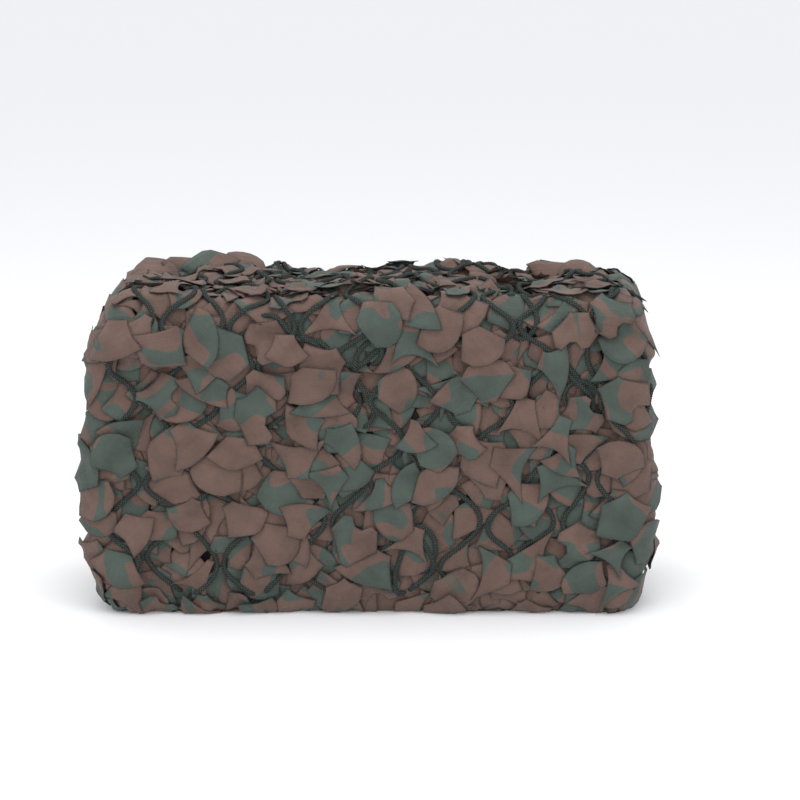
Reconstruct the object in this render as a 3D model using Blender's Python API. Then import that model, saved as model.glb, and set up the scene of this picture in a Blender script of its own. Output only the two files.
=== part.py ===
"""Camouflage net, folded back and forth into a bundle that stands on its long edge.

The leaf cloth is a strip of many plies, folded into upright layers. Its folds run along X, its
front layer faces -Y, and it stands on z = 0. The knitted cord net lies over the front, the top
and the back, in the valleys between the leaves.
"""
import math
from collections import namedtuple

import bmesh
import bpy
from mathutils import Matrix, Vector

# Driving dimensions of the bundle, in metres.
LENGTH = 0.465
CREST = 0.2668          # top of the highest fold, under the cords
CORE_DEPTH = 0.115      # over the layers, without the leaves' relief
LAYERS = 8
LAYER_GAP = 0.0017

# Leaf relief and cords.
LEAF_RISE = 0.0070      # on the front and the back
TOP_LEAF_RISE = 0.0040  # on the folds at the top
CROWN = 0.0030          # how far the front and the back swell in the middle
CORD_RISE = 0.0031      # from the cloth to the cord's centre line
CORD_WIDTH = 0.0044

# The net's cells. A cell is CELL steps from knot line to knot line, along either diagonal.
CELL = 6
STEPS_ACROSS = 42
FACE_STEPS = 21
LOOP_STEP_DEG = 30.0
STEPS_PER_LOOP = 4
RIBBON = 0.2            # half a cord's width on the flat net, in steps

# Heights.
FOOT = 0.013            # lowest knots of the net
BOTTOM_BEND = 0.0088    # centre of the lower folds, which the floor flattens
HEM_HEIGHTS = (0.0, 0.0035)
INNER_HEIGHTS = (0.085, 0.180)

# Ends of the strip along X.
END_ROUND = 0.012
END_STEPS = (0.0, 0.0018, 0.0055)
END_SHARE = 0.25        # least share of the thickness, at the very end
HEM_SHARES = (0.55, 0.88)

MERGE = 0.000002        # points nearer than this are one point
ACROSS = Vector((1.0, 0.0, 0.0))

# Worked out from the sizes above.
THICKNESS = (CORE_DEPTH - (LAYERS - 1) * LAYER_GAP) / LAYERS
PITCH = THICKNESS + LAYER_GAP
BEND = PITCH / 2
LOOPS = LAYERS // 2
ROWS_OVER = 2 * FACE_STEPS + STEPS_PER_LOOP * (LOOPS - 1) + round(180 / LOOP_STEP_DEG)
COLUMNS = STEPS_ACROSS + 2 * len(END_STEPS)
KNOT_STEPS = CELL // 2
FLOOR_ANGLE = math.degrees(math.asin(BOTTOM_BEND / (BEND + THICKNESS / 2)))

EndRow = namedtuple("EndRow", "height left right")
END_TABLE = (
    EndRow(height=0.000, left=0.024, right=0.024),
    EndRow(height=0.012, left=0.013, right=0.015),
    EndRow(height=0.030, left=0.004, right=0.010),
    EndRow(height=0.050, left=0.000, right=0.007),
    EndRow(height=0.090, left=0.003, right=0.000),
    EndRow(height=0.130, left=0.000, right=0.005),
    EndRow(height=0.170, left=0.004, right=0.007),
    EndRow(height=0.210, left=0.007, right=0.008),
    EndRow(height=0.235, left=0.011, right=0.010),
    EndRow(height=0.250, left=0.018, right=0.013),
    EndRow(height=0.262, left=0.029, right=0.020),
    EndRow(height=0.275, left=0.044, right=0.031),
)

LoopRow = namedtuple("LoopRow", "drop swell waves phase")
LOOP_TABLE = (
    LoopRow(drop=0.0070, swell=0.0030, waves=2.3, phase=0.4),
    LoopRow(drop=0.0030, swell=0.0030, waves=1.7, phase=2.6),
    LoopRow(drop=0.0050, swell=0.0032, waves=2.6, phase=4.2),
    LoopRow(drop=0.0034, swell=0.0034, waves=2.1, phase=5.6),
)

Station = namedtuple("Station", "part index value")
Section = namedtuple("Section", "y z ny nz row share")


def remove_objects():
    """Empty the scene."""
    for old in list(bpy.data.objects):
        bpy.data.objects.remove(old, do_unlink=True)


def cloth_material(name, colour, roughness):
    """A plain material with the part's colour."""
    material = bpy.data.materials.new(name)
    material.use_nodes = True
    shader = material.node_tree.nodes["Principled BSDF"]
    shader.inputs["Base Color"].default_value = (*colour, 1.0)
    shader.inputs["Roughness"].default_value = roughness
    shader.inputs["Metallic"].default_value = 0.0
    return material


def layer_y(layer):
    """Middle of a layer."""
    return (layer - (LAYERS - 1) / 2) * PITCH


def loop_centre(loop, across):
    """Height of the centre of an upper fold, at a share of the way across."""
    row = LOOP_TABLE[loop]
    swell = row.swell * math.sin(2 * math.pi * row.waves * across + row.phase)
    return CREST - row.drop + swell - BEND - THICKNESS / 2


def end_inset(height, side):
    """How far the strip's end is drawn in at a height, from the table."""
    for low, high in zip(END_TABLE, END_TABLE[1:]):
        if height <= high.height:
            share = (height - low.height) / (high.height - low.height)
            share = max(share, 0.0)
            return getattr(low, side) * (1 - share) + getattr(high, side) * share
    return getattr(END_TABLE[-1], side)


def layer_inset(layer):
    """Inner layers stop short by uneven amounts."""
    if layer in (0, LAYERS - 1):
        return 0.0
    return 0.0022 * (1 + math.sin(2.3 * layer + 1.0))


def wander(step, row):
    """Sideways shift of the net's points, so that no two cells are alike."""
    fade = min(1.0, step / 3, (STEPS_ACROSS - step) / 3)
    waves = math.sin(0.83 * step + 0.47 * row) + math.sin(0.41 * step - 0.71 * row + 1.3)
    return 0.0019 * fade * waves


def climb(step, face_row):
    """Upward shift of the net's points on the front or the back."""
    fade = min(1.0, face_row / 3, (FACE_STEPS - face_row) / 3)
    waves = math.sin(0.67 * step - 0.58 * face_row + 0.6) + math.sin(0.31 * step + 0.9 * face_row)
    return 0.0019 * fade * waves


def face_height(layer, step, row):
    """Height of a row of points on the front or the back layer."""
    face_row = row if layer == 0 else ROWS_OVER - row
    loop = 0 if layer == 0 else LOOPS - 1
    top = loop_centre(loop, step / STEPS_ACROSS)
    return FOOT + (top - FOOT) * face_row / FACE_STEPS + climb(step, face_row)


def crown(step, row):
    """Swelling of the front and the back."""
    face_row = min(row, ROWS_OVER - row)
    if face_row >= FACE_STEPS:
        return 0.0
    across = 1 - (2 * step / STEPS_ACROSS - 1) ** 2
    return CROWN * across * math.sin(math.pi * face_row / FACE_STEPS)


def lobe(share):
    """A leaf's rise across a cell: steep at its lip and gentle at its tail."""
    return math.sin(math.pi * share ** 0.6) if 0 < share < 1 else 0.0


def leaf_rise(step, row, reach):
    """Height of the leaf relief, which is nothing along the cords."""
    plus = (step + row) / CELL
    minus = (step - row) / CELL
    cell_plus = math.floor(plus)
    cell_minus = math.floor(minus)
    along = plus - cell_plus
    athwart = minus - cell_minus
    turn = (7 * cell_plus + 11 * cell_minus + cell_plus * cell_minus) % 5
    if turn == 3:
        along = 1 - along
    if turn != 4:
        athwart = 1 - athwart
    size = 0.80 + 0.20 * math.sin(2.1 * cell_plus + 3.7 * cell_minus)
    return reach * size * lobe(along) * lobe(athwart)


def rise_reach(station):
    """Tallest relief at a station of the strip."""
    if station.part == "face":
        return LEAF_RISE
    if station.part != "top":
        return 0.0
    lean = station.value if station.index < LOOPS - 1 else 180 - station.value
    if station.index in (0, LOOPS - 1) and lean <= 90:
        return LEAF_RISE + (TOP_LEAF_RISE - LEAF_RISE) * math.sin(math.radians(lean))
    if 45 < station.value < 135:
        return TOP_LEAF_RISE
    return 0.0


def section(station, step):
    """Middle line, outward direction, net row and thickness share at a station."""
    across = step / STEPS_ACROSS
    angle = math.radians(station.value)
    if station.part == "hem":
        facing = -1 if station.index == 0 else 1
        return Section(layer_y(station.index), station.value, facing, 0.0, None,
                       HEM_SHARES[HEM_HEIGHTS.index(station.value)])
    if station.part == "face":
        facing = -1 if station.index == 0 else 1
        height = face_height(station.index, step, station.value)
        return Section(layer_y(station.index), height, facing, 0.0, station.value, 1.0)
    if station.part == "inner":
        facing = -1 if station.index % 2 == 0 else 1
        return Section(layer_y(station.index), station.value, facing, 0.0, None, 1.0)
    if station.part == "top":
        row = FACE_STEPS + STEPS_PER_LOOP * station.index + station.value / LOOP_STEP_DEG
        centre_y = layer_y(2 * station.index) + BEND
        centre_z = loop_centre(station.index, across)
        ny = -math.cos(angle)
        nz = math.sin(angle)
        return Section(centre_y + BEND * ny, centre_z + BEND * nz, ny, nz, row, 1.0)
    centre_y = layer_y(2 * station.index + 1) + BEND
    ny = math.cos(angle)
    nz = math.sin(angle)
    return Section(centre_y - BEND * ny, BOTTOM_BEND - BEND * nz, ny, nz, None, 1.0)


def stations():
    """The strip's stations, from the front hem over all folds to the back hem."""
    last = LAYERS - 1
    rows = [Station("hem", 0, height) for height in HEM_HEIGHTS]
    rows += [Station("face", 0, row) for row in range(FACE_STEPS)]
    angles = [LOOP_STEP_DEG * n for n in range(round(180 / LOOP_STEP_DEG) + 1)]
    floor = FLOOR_ANGLE
    lower = [0.0, floor / 2, floor, 180 - floor, 180 - floor / 2, 180.0]
    for loop in range(LOOPS):
        rows += [Station("top", loop, angle) for angle in angles]
        if loop < LOOPS - 1:
            rows += [Station("inner", 2 * loop + 1, z) for z in reversed(INNER_HEIGHTS)]
            rows += [Station("bottom", loop, angle) for angle in lower]
            rows += [Station("inner", 2 * loop + 2, z) for z in INNER_HEIGHTS]
    first_back = ROWS_OVER - FACE_STEPS + 1
    rows += [Station("face", last, row) for row in range(first_back, ROWS_OVER + 1)]
    rows += [Station("hem", last, height) for height in reversed(HEM_HEIGHTS)]
    return rows


def is_outer(station, side):
    """Whether a side of the strip shows at a station."""
    if station.part == "bottom":
        return side < 0
    return station.part != "inner" and side > 0


def hidden_station(station):
    """A hidden side needs few rows, so its rows move to the nearest kept one."""
    if station.part in ("top", "bottom"):
        return station._replace(value=0.0 if station.value < 90 else 180.0)
    if station.part == "face":
        third = FACE_STEPS // 3
        if station.index == 0:
            return station._replace(value=third * round(station.value / third))
        below = ROWS_OVER - station.value
        return station._replace(value=ROWS_OVER - third * round(below / third))
    return station


def column_place(column):
    """Net step and distance from the nearest end for a column of the strip."""
    ends = len(END_STEPS)
    if column < ends:
        return 0, END_STEPS[column], -1
    if column > COLUMNS - ends:
        return STEPS_ACROSS, END_STEPS[COLUMNS - column], 1
    return column - ends, None, 0


def place_x(step, edge, end, height, layer):
    """Place along X, drawn in where the ends are round."""
    left = -LENGTH / 2 + end_inset(height, "left") + layer_inset(layer)
    right = LENGTH / 2 - end_inset(height, "right") - layer_inset(layer)
    if end < 0:
        return left + edge
    if end > 0:
        return right - edge
    low = left + END_ROUND
    high = right - END_ROUND
    return low + (high - low) * step / STEPS_ACROSS


def end_share(edge):
    """Share of the thickness left near an end."""
    if edge is None:
        return 1.0
    return max(END_SHARE, math.sqrt(1 - (1 - edge / END_ROUND) ** 2))


def station_layer(station):
    """Layer that a station lies in, or next to."""
    if station.part == "top":
        return 2 * station.index + (station.value > 90)
    if station.part == "bottom":
        return 2 * station.index + 1 + (station.value > 90)
    return station.index


def strip_point(station, column, side):
    """Place of one point of the folded strip."""
    step, edge, end = column_place(column)
    outer = is_outer(station, side)
    if not outer:
        station = hidden_station(station)
        step = CELL * round(step / CELL)
    cut = section(station, step)
    half = THICKNESS / 2 * cut.share * end_share(edge)
    shift = 0.0
    if outer and cut.row is not None:
        half += crown(step, cut.row)
        if edge is None:
            half += leaf_rise(step, cut.row, rise_reach(station))
            shift = wander(step, cut.row)
    x = place_x(step, edge, end, cut.z, station_layer(station)) + shift
    y = cut.y + side * half * cut.ny
    z = max(cut.z + side * half * cut.nz, 0.0)
    return Vector((x, y, z))


def split_under_cords(mesh, places, rows):
    """Cut each quad that a cord crosses along that cord."""
    for face in list(mesh.faces):
        corners = {}
        for vert in face.verts:
            row, column, side = places[vert]
            if side > 0 and is_outer(rows[row], side):
                corners[(row, column)] = vert
        if len(corners) != 4:
            continue
        row, column = min(corners)
        step, edge, _end = column_place(column)
        net_row = section(rows[row], step).row
        beyond = column_place(column + 1)[1]
        if net_row is None or edge is not None or beyond is not None:
            continue
        if (step - net_row) % CELL == 0:
            bmesh.utils.face_split(face, corners[(row, column)], corners[(row + 1, column + 1)])
        elif (step + 1 + net_row) % CELL == 0:
            bmesh.utils.face_split(face, corners[(row, column + 1)], corners[(row + 1, column)])


def make_leaf_cloth():
    """Cut a flat strip, give it its two sides, fold it and close up its hidden rows."""
    rows = stations()
    mesh = bmesh.new()
    bmesh.ops.create_grid(mesh, x_segments=COLUMNS, y_segments=len(rows) - 1, size=0.5)
    bmesh.ops.solidify(mesh, geom=list(mesh.faces), thickness=0.1)
    heights = [vert.co.z for vert in mesh.verts]
    middle = (max(heights) + min(heights)) / 2
    places = {}
    for vert in mesh.verts:
        column = round((vert.co.x + 0.5) * COLUMNS)
        row = round((vert.co.y + 0.5) * (len(rows) - 1))
        places[vert] = (row, column, 1 if vert.co.z > middle else -1)
    split_under_cords(mesh, places, rows)
    for vert, (row, column, side) in places.items():
        vert.co = strip_point(rows[row], column, side)
    bmesh.ops.remove_doubles(mesh, verts=list(mesh.verts), dist=MERGE)
    bmesh.ops.recalc_face_normals(mesh, faces=list(mesh.faces))
    return finish(mesh, "leaf_cloth", cloth_material("leaf_cloth", (0.105, 0.085, 0.068), 0.85))


def net_loop(row):
    """Upper fold that a net row lies on, its angle there, and whether it is in a valley."""
    over = row - FACE_STEPS
    loop = min(max((over - 1) // STEPS_PER_LOOP, 0), LOOPS - 1)
    if over >= 1 and (over - 1) % STEPS_PER_LOOP == 0 and 1 < over < STEPS_PER_LOOP * LOOPS:
        return loop, None
    return loop, LOOP_STEP_DEG * (over - STEPS_PER_LOOP * loop)


def cord_point(step, row):
    """Place of a point on a cord's centre line."""
    x_shift = wander(step, row)
    if row <= FACE_STEPS or row >= ROWS_OVER - FACE_STEPS:
        layer = 0 if row <= FACE_STEPS else LAYERS - 1
        facing = -1 if layer == 0 else 1
        z = face_height(layer, step, row)
        y = layer_y(layer) + facing * (THICKNESS / 2 + crown(step, row) + CORD_RISE)
        return Vector((place_x(step, None, 0, z, layer) + x_shift, y, z))
    loop, angle = net_loop(row)
    if angle is None:
        across = step / STEPS_ACROSS
        base = max(loop_centre(loop - 1, across), loop_centre(loop, across))
        reach = BEND + THICKNESS / 2
        z = base + 0.76 * reach
        y = layer_y(2 * loop) - PITCH / 2
        return Vector((place_x(step, None, 0, base + reach / 2, 1) + x_shift, y, z))
    station = Station("top", loop, angle)
    cut = section(station, step)
    half = THICKNESS / 2 + CORD_RISE
    x = place_x(step, None, 0, cut.z, station_layer(station)) + x_shift
    return Vector((x, cut.y + half * cut.ny, cut.z + half * cut.nz))


def cord_frame(step, row):
    """Place on a cord's centre line, the way up the rows there, and the way out."""
    here = cord_point(step, row)
    upward = cord_point(step, min(row + 1, ROWS_OVER)) - cord_point(step, max(row - 1, 0))
    upward.x = 0.0
    upward.normalize()
    return here, upward, ACROSS.cross(upward)


def lattice():
    """The net laid flat, one unit a step: a grid cut along its diagonals, its even knots kept."""
    knots_across = STEPS_ACROSS // KNOT_STEPS
    knots_over = ROWS_OVER // KNOT_STEPS
    mesh = bmesh.new()
    bmesh.ops.create_grid(mesh, x_segments=knots_across, y_segments=knots_over, size=0.5)
    for vert in mesh.verts:
        vert.co.x = round((vert.co.x + 0.5) * knots_across) * KNOT_STEPS
        vert.co.y = round((vert.co.y + 0.5) * knots_over) * KNOT_STEPS
    for face in list(mesh.faces):
        even = [vert for vert in face.verts if round(vert.co.x + vert.co.y) % CELL == 0]
        bmesh.utils.face_split(face, *even)
    odd = [vert for vert in mesh.verts if round(vert.co.x + vert.co.y) % CELL != 0]
    bmesh.ops.dissolve_verts(mesh, verts=odd)
    halves = [face for face in mesh.faces if len(face.verts) < 4]
    bmesh.ops.delete(mesh, geom=halves, context="FACES")
    bmesh.ops.subdivide_edges(mesh, edges=list(mesh.edges), cuts=KNOT_STEPS - 1)
    return mesh


def widen_border(mesh):
    """Add the outer half of the ribbon along the flat net's border."""
    border = [edge for edge in mesh.edges if edge.is_boundary]
    ways = {}
    for edge in border:
        first, second = edge.verts
        run = (second.co - first.co).normalized()
        out = Vector((run.y, -run.x, 0.0))
        if out.dot(edge.link_faces[0].calc_center_median() - first.co) > 0:
            out.negate()
        for vert in edge.verts:
            ways.setdefault((round(vert.co.x), round(vert.co.y)), []).append(out)
    added = bmesh.ops.extrude_edge_only(mesh, edges=border)["geom"]
    for vert in added:
        if isinstance(vert, bmesh.types.BMVert):
            one, other = ways[(round(vert.co.x), round(vert.co.y))]
            vert.co += (one + other) * RIBBON / (1 + one.dot(other))


def make_cord_net():
    """Widen the flat net's lines to ribbons, double them, and lay them over the cloth."""
    mesh = lattice()
    cells = list(mesh.faces)
    widen_border(mesh)
    bmesh.ops.inset_individual(mesh, faces=cells, thickness=RIBBON, use_even_offset=True)
    bmesh.ops.delete(mesh, geom=cells, context="FACES")
    sheets = {1: list(mesh.verts)}
    whole = list(mesh.verts) + list(mesh.edges) + list(mesh.faces)
    copy = bmesh.ops.duplicate(mesh, geom=whole)["geom"]
    sheets[-1] = [item for item in copy if isinstance(item, bmesh.types.BMVert)]
    widen = CORD_WIDTH / 2 / RIBBON
    for side, verts in sheets.items():
        for vert in verts:
            step = round(vert.co.x)
            row = round(vert.co.y)
            here, upward, outward = cord_frame(step, row)
            aside = (vert.co.x - step) * ACROSS + (vert.co.y - row) * upward
            lift = 0.0 if aside.length > RIBBON / 2 else side * CORD_WIDTH / 2
            vert.co = here + aside * widen + outward * lift
    bmesh.ops.remove_doubles(mesh, verts=list(mesh.verts), dist=MERGE)
    bmesh.ops.recalc_face_normals(mesh, faces=list(mesh.faces))
    return finish(mesh, "cord_net", cloth_material("cord_net", (0.030, 0.042, 0.036), 0.9))


def finish(mesh, name, material):
    """Turn a bmesh into an object of the scene."""
    data = bpy.data.meshes.new(name)
    mesh.to_mesh(data)
    mesh.free()
    data.materials.append(material)
    piece = bpy.data.objects.new(name, data)
    bpy.context.scene.collection.objects.link(piece)
    return piece


def centre(pieces):
    """Set the middle of the pieces' common box over the origin."""
    points = [vert.co for piece in pieces for vert in piece.data.vertices]
    x_middle = (max(p.x for p in points) + min(p.x for p in points)) / 2
    y_middle = (max(p.y for p in points) + min(p.y for p in points)) / 2
    for piece in pieces:
        piece.data.transform(Matrix.Translation((-x_middle, -y_middle, 0.0)))


def main():
    """Build the bundle."""
    remove_objects()
    centre([make_leaf_cloth(), make_cord_net()])


main()
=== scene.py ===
"""A camouflage net, folded into a bundle: leaf-cut cloth, its cord mesh, and a plain studio.

The bundle's own sizes repeat those of the solids, in metres, so each piece lies where its
solid does. Leaves and cords are laid one after the other: each one rests on what lies below it.
"""
import logging
import math
import random
from collections import defaultdict
from dataclasses import dataclass, field
from enum import Enum
from itertools import product

import bmesh
import bpy
import numpy as np
from mathutils import Matrix, Vector
from mathutils.bvhtree import BVHTree


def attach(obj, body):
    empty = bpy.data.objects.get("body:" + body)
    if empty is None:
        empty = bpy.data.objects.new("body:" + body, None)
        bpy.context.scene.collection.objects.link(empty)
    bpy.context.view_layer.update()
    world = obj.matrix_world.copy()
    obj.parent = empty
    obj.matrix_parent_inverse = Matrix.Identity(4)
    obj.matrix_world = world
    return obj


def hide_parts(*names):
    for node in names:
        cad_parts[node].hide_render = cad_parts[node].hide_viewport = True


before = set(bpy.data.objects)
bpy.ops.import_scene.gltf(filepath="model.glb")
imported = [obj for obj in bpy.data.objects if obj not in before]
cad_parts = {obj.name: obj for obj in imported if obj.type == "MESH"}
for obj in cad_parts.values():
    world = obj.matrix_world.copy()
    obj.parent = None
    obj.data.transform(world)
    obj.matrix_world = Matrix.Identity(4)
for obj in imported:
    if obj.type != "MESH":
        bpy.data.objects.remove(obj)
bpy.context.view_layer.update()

Pair = tuple[float, float]
Triple = tuple[float, float, float]
Cell = tuple[int, int, int]
Colour = Triple
Mesh = bmesh.types.BMesh
Object = bpy.types.Object
Socket = bpy.types.NodeSocket
Material = bpy.types.Material

LOG = logging.getLogger("camouflage_net")
BODY = "root"
MERGE = 0.000002
LEAF_SEED = 11
CORD_SEED = 5
HALF_TURN = 180
QUARTER_TURN = 90
ENDS = ((-1, "leaves_left_end"), (1, "leaves_right_end"))


class Side(Enum):
    """The two sides of the folded strip."""

    LEFT = 1
    RIGHT = -1


class Part(Enum):
    """The stretches of the folded strip, in the order in which it runs."""

    HEM = "hem"
    FACE = "face"
    TOP = "top"
    INNER = "inner"
    BOTTOM = "bottom"


class LeafCut(Enum):
    """Outlines that the cloth is cut to."""

    SCALLOP = "scallop"
    FAN = "fan"
    TWIN = "twin"
    POINTED = "pointed"
    SLANTED = "slanted"
    NOTCHED = "notched"


@dataclass(frozen=True)
class Station:
    """One cross-wise line of the strip: its stretch, its layer or fold, and its place there."""

    part: Part
    index: int
    value: float


@dataclass(frozen=True)
class Cut:
    """The strip's middle line, outward direction, net row and thickness share at a station."""

    y: float
    z: float
    ny: float
    nz: float
    row: float | None
    share: float


@dataclass(frozen=True)
class EndRow:
    """How far the strip's ends are drawn in at a height."""

    height: float
    left: float
    right: float


@dataclass(frozen=True)
class LoopRow:
    """One upper fold: how far it stays under the crest, and its slow waves along X."""

    drop: float
    swell: float
    waves: float
    phase: float


@dataclass(frozen=True)
class Wave:
    """A slow wave over a grid: its turn a step, its turn a row, and its start."""

    step: float
    row: float
    start: float = 0.0

    def at(self, step: float, row: float) -> float:
        """Height of the wave, from -1 to 1."""
        return math.sin(self.step * step + self.row * row + self.start)


END_TABLE = (
    EndRow(height=0.000, left=0.026, right=0.026),
    EndRow(height=0.012, left=0.016, right=0.017),
    EndRow(height=0.030, left=0.008, right=0.012),
    EndRow(height=0.050, left=0.004, right=0.009),
    EndRow(height=0.090, left=0.006, right=0.003),
    EndRow(height=0.130, left=0.003, right=0.007),
    EndRow(height=0.170, left=0.007, right=0.009),
    EndRow(height=0.210, left=0.011, right=0.011),
    EndRow(height=0.235, left=0.017, right=0.013),
    EndRow(height=0.250, left=0.026, right=0.017),
    EndRow(height=0.262, left=0.039, right=0.025),
    EndRow(height=0.275, left=0.056, right=0.037),
)
LOOP_TABLE = (
    LoopRow(drop=0.0070, swell=0.0030, waves=2.3, phase=0.4),
    LoopRow(drop=0.0030, swell=0.0030, waves=1.7, phase=2.6),
    LoopRow(drop=0.0050, swell=0.0032, waves=2.6, phase=4.2),
    LoopRow(drop=0.0034, swell=0.0034, waves=2.1, phase=5.6),
)
WANDER_WAVES = (Wave(0.83, 0.47), Wave(0.41, -0.71, 1.3))
CLIMB_WAVES = (Wave(0.67, -0.58, 0.6), Wave(0.31, 0.9))
LOBE_WAVE = Wave(2.1, 3.7)
CORD_WAVE = Wave(1.7, 2.9)


@dataclass(frozen=True)
class BundleShape:
    """The folded bundle's form, as the solids have it, at any point of the net's grid."""

    length: float = 0.465
    crest: float = 0.2668
    core_depth: float = 0.115
    layers: int = 8
    layer_gap: float = 0.0017
    leaf_rise: float = 0.0030
    top_leaf_rise: float = 0.0022
    crown_rise: float = 0.0030
    cord_rise: float = 0.0031
    cell: int = 6
    steps_across: int = 42
    face_steps: int = 21
    loop_step: float = 30.0
    steps_per_loop: int = 4
    foot: float = 0.013
    bottom_bend: float = 0.0088
    floor_clear: float = 0.0014
    hem_heights: tuple[float, ...] = (0.0, 0.0035)
    hem_shares: tuple[float, ...] = (0.55, 0.88)
    inner_heights: tuple[float, ...] = (0.035, 0.065, 0.095, 0.125, 0.155, 0.185, 0.215, 0.240)
    end_round: float = 0.012
    end_steps: tuple[float, ...] = (0.0, 0.0007, 0.0020, 0.0042, 0.0075)
    end_share_least: float = 0.25
    end_ruffle: float = 0.0022
    ruffle_wave: float = 0.011
    ruffle_turn: float = 1.9
    outer_ruffle: float = 0.4
    inset_turn: float = 2.3
    inset_start: float = 1.0
    grid_sway: float = 0.0019
    fade_steps: int = 3
    valley_share: float = 0.76
    lobe_lip: float = 0.6
    lobe_sizes: Pair = (0.80, 0.20)
    lobe_turns: tuple[int, int] = (7, 11)
    lobe_kinds: int = 5
    turned_kind: int = 3
    straight_kind: int = 4
    crest_from: float = 45.0
    box_depth: float = 0.132
    box_height: float = 0.272
    box_power: int = 7
    box_most: float = 1.2

    @property
    def thickness(self) -> float:
        """Thickness of one layer."""
        return (self.core_depth - (self.layers - 1) * self.layer_gap) / self.layers

    @property
    def pitch(self) -> float:
        """From one layer's middle to the next."""
        return self.thickness + self.layer_gap

    @property
    def bend(self) -> float:
        """Radius of a fold's middle line."""
        return self.pitch / 2

    @property
    def reach(self) -> float:
        """Outer radius of a fold."""
        return self.bend + self.thickness / 2

    @property
    def loops(self) -> int:
        """Number of upper folds."""
        return self.layers // 2

    @property
    def rows_over(self) -> int:
        """Net rows from the front foot over the top to the back foot."""
        over = round(HALF_TURN / self.loop_step)
        return 2 * self.face_steps + self.steps_per_loop * (self.loops - 1) + over

    def layer_y(self, layer: int) -> float:
        """Middle of a layer along Y."""
        return (layer - (self.layers - 1) / 2) * self.pitch

    def loop_centre(self, loop: int, across: float) -> float:
        """Height of an upper fold's centre, at a share of the way across.

        Args:
            loop: Number of the fold.
            across: Share of the way across.

        Returns:
            The height.
        """
        row = LOOP_TABLE[loop]
        swell = row.swell * math.sin(2 * math.pi * row.waves * across + row.phase)
        return self.crest - row.drop + swell - self.reach

    def end_inset(self, height: float, side: str) -> float:
        """How far an end is drawn in at a height.

        Args:
            height: Height over the floor.
            side: "left" or "right", a column of the table.

        Returns:
            The distance in metres.
        """
        for low, high in zip(END_TABLE, END_TABLE[1:]):
            if height <= high.height:
                share = max((height - low.height) / (high.height - low.height), 0.0)
                return getattr(low, side) * (1 - share) + getattr(high, side) * share
        return getattr(END_TABLE[-1], side)

    def end_tip(self, end: float, height: float) -> float:
        """Distance from the middle to the left (under 0) or right end at a height."""
        return self.length / 2 - self.end_inset(height, "left" if end < 0 else "right")

    def layer_inset(self, layer: int, height: float) -> float:
        """Uneven distance by which a layer stops short, with a ruffle along its end.

        Args:
            layer: Number of the layer.
            height: Height over the floor.

        Returns:
            The distance.
        """
        wave = height / self.ruffle_wave + self.ruffle_turn * layer
        ruffle = self.end_ruffle * math.sin(wave)
        if layer in (0, self.layers - 1):
            return self.outer_ruffle * self.end_ruffle + self.outer_ruffle * ruffle
        uneven = math.sin(self.inset_turn * layer + self.inset_start)
        return self.end_ruffle * (1 + uneven) + ruffle

    def wander(self, step: float, row: float) -> float:
        """Sideways shift of the net's points."""
        fade = min(1.0, step / self.fade_steps, (self.steps_across - step) / self.fade_steps)
        return self.grid_sway * fade * sum(wave.at(step, row) for wave in WANDER_WAVES)

    def climb(self, step: float, face_row: float) -> float:
        """Upward shift of the net's points on the front or the back.

        Args:
            step: Net step along X.
            face_row: Row up from the floor.

        Returns:
            The shift.
        """
        above = self.face_steps - face_row
        fade = min(1.0, face_row / self.fade_steps, above / self.fade_steps)
        return self.grid_sway * fade * sum(wave.at(step, face_row) for wave in CLIMB_WAVES)

    def face_height(self, layer: int, step: float, row: float) -> float:
        """Height of a row of points on the front or the back layer.

        Args:
            layer: The front layer, 0, or the last one.
            step: Net step along X.
            row: Net row along the strip.

        Returns:
            The height.
        """
        face_row = row if layer == 0 else self.rows_over - row
        loop = 0 if layer == 0 else self.loops - 1
        top = self.loop_centre(loop, step / self.steps_across)
        share = face_row / self.face_steps
        return self.foot + (top - self.foot) * share + self.climb(step, face_row)

    def crown(self, step: float, row: float) -> float:
        """Swelling of the front and the back.

        Args:
            step: Net step along X.
            row: Net row along the strip.

        Returns:
            How far the face stands out.
        """
        face_row = min(row, self.rows_over - row)
        if face_row >= self.face_steps:
            return 0.0
        across = 1 - (2 * step / self.steps_across - 1) ** 2
        return self.crown_rise * across * math.sin(math.pi * face_row / self.face_steps)

    def lobe(self, share: float) -> float:
        """A leaf's rise across a cell: steep at its lip and gentle at its tail."""
        return math.sin(math.pi * share ** self.lobe_lip) if 0 < share < 1 else 0.0

    def relief(self, step: float, row: float, reach: float) -> float:
        """Height of the cloth's soft lobes, which is nothing along the cords.

        Args:
            step: Net step along X.
            row: Net row along the strip.
            reach: Height of the tallest lobe.

        Returns:
            The height.
        """
        plus = (step + row) / self.cell
        minus = (step - row) / self.cell
        cell_plus = math.floor(plus)
        cell_minus = math.floor(minus)
        along = plus - cell_plus
        athwart = minus - cell_minus
        turn = self.lobe_turns[0] * cell_plus + self.lobe_turns[1] * cell_minus
        kind = (turn + cell_plus * cell_minus) % self.lobe_kinds
        if kind == self.turned_kind:
            along = 1 - along
        if kind != self.straight_kind:
            athwart = 1 - athwart
        size = self.lobe_sizes[0] + self.lobe_sizes[1] * LOBE_WAVE.at(cell_plus, cell_minus)
        return reach * size * self.lobe(along) * self.lobe(athwart)

    def relief_reach(self, station: Station) -> float:
        """Tallest lobes at a station.

        Args:
            station: The cross-wise line.

        Returns:
            The height.
        """
        if station.part is Part.FACE:
            return self.leaf_rise
        if station.part is not Part.TOP:
            return 0.0
        lean = station.value if station.index < self.loops - 1 else HALF_TURN - station.value
        if station.index in (0, self.loops - 1) and lean <= QUARTER_TURN:
            less = self.top_leaf_rise - self.leaf_rise
            return self.leaf_rise + less * math.sin(math.radians(lean))
        if self.crest_from < station.value < HALF_TURN - self.crest_from:
            return self.top_leaf_rise
        return 0.0

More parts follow.
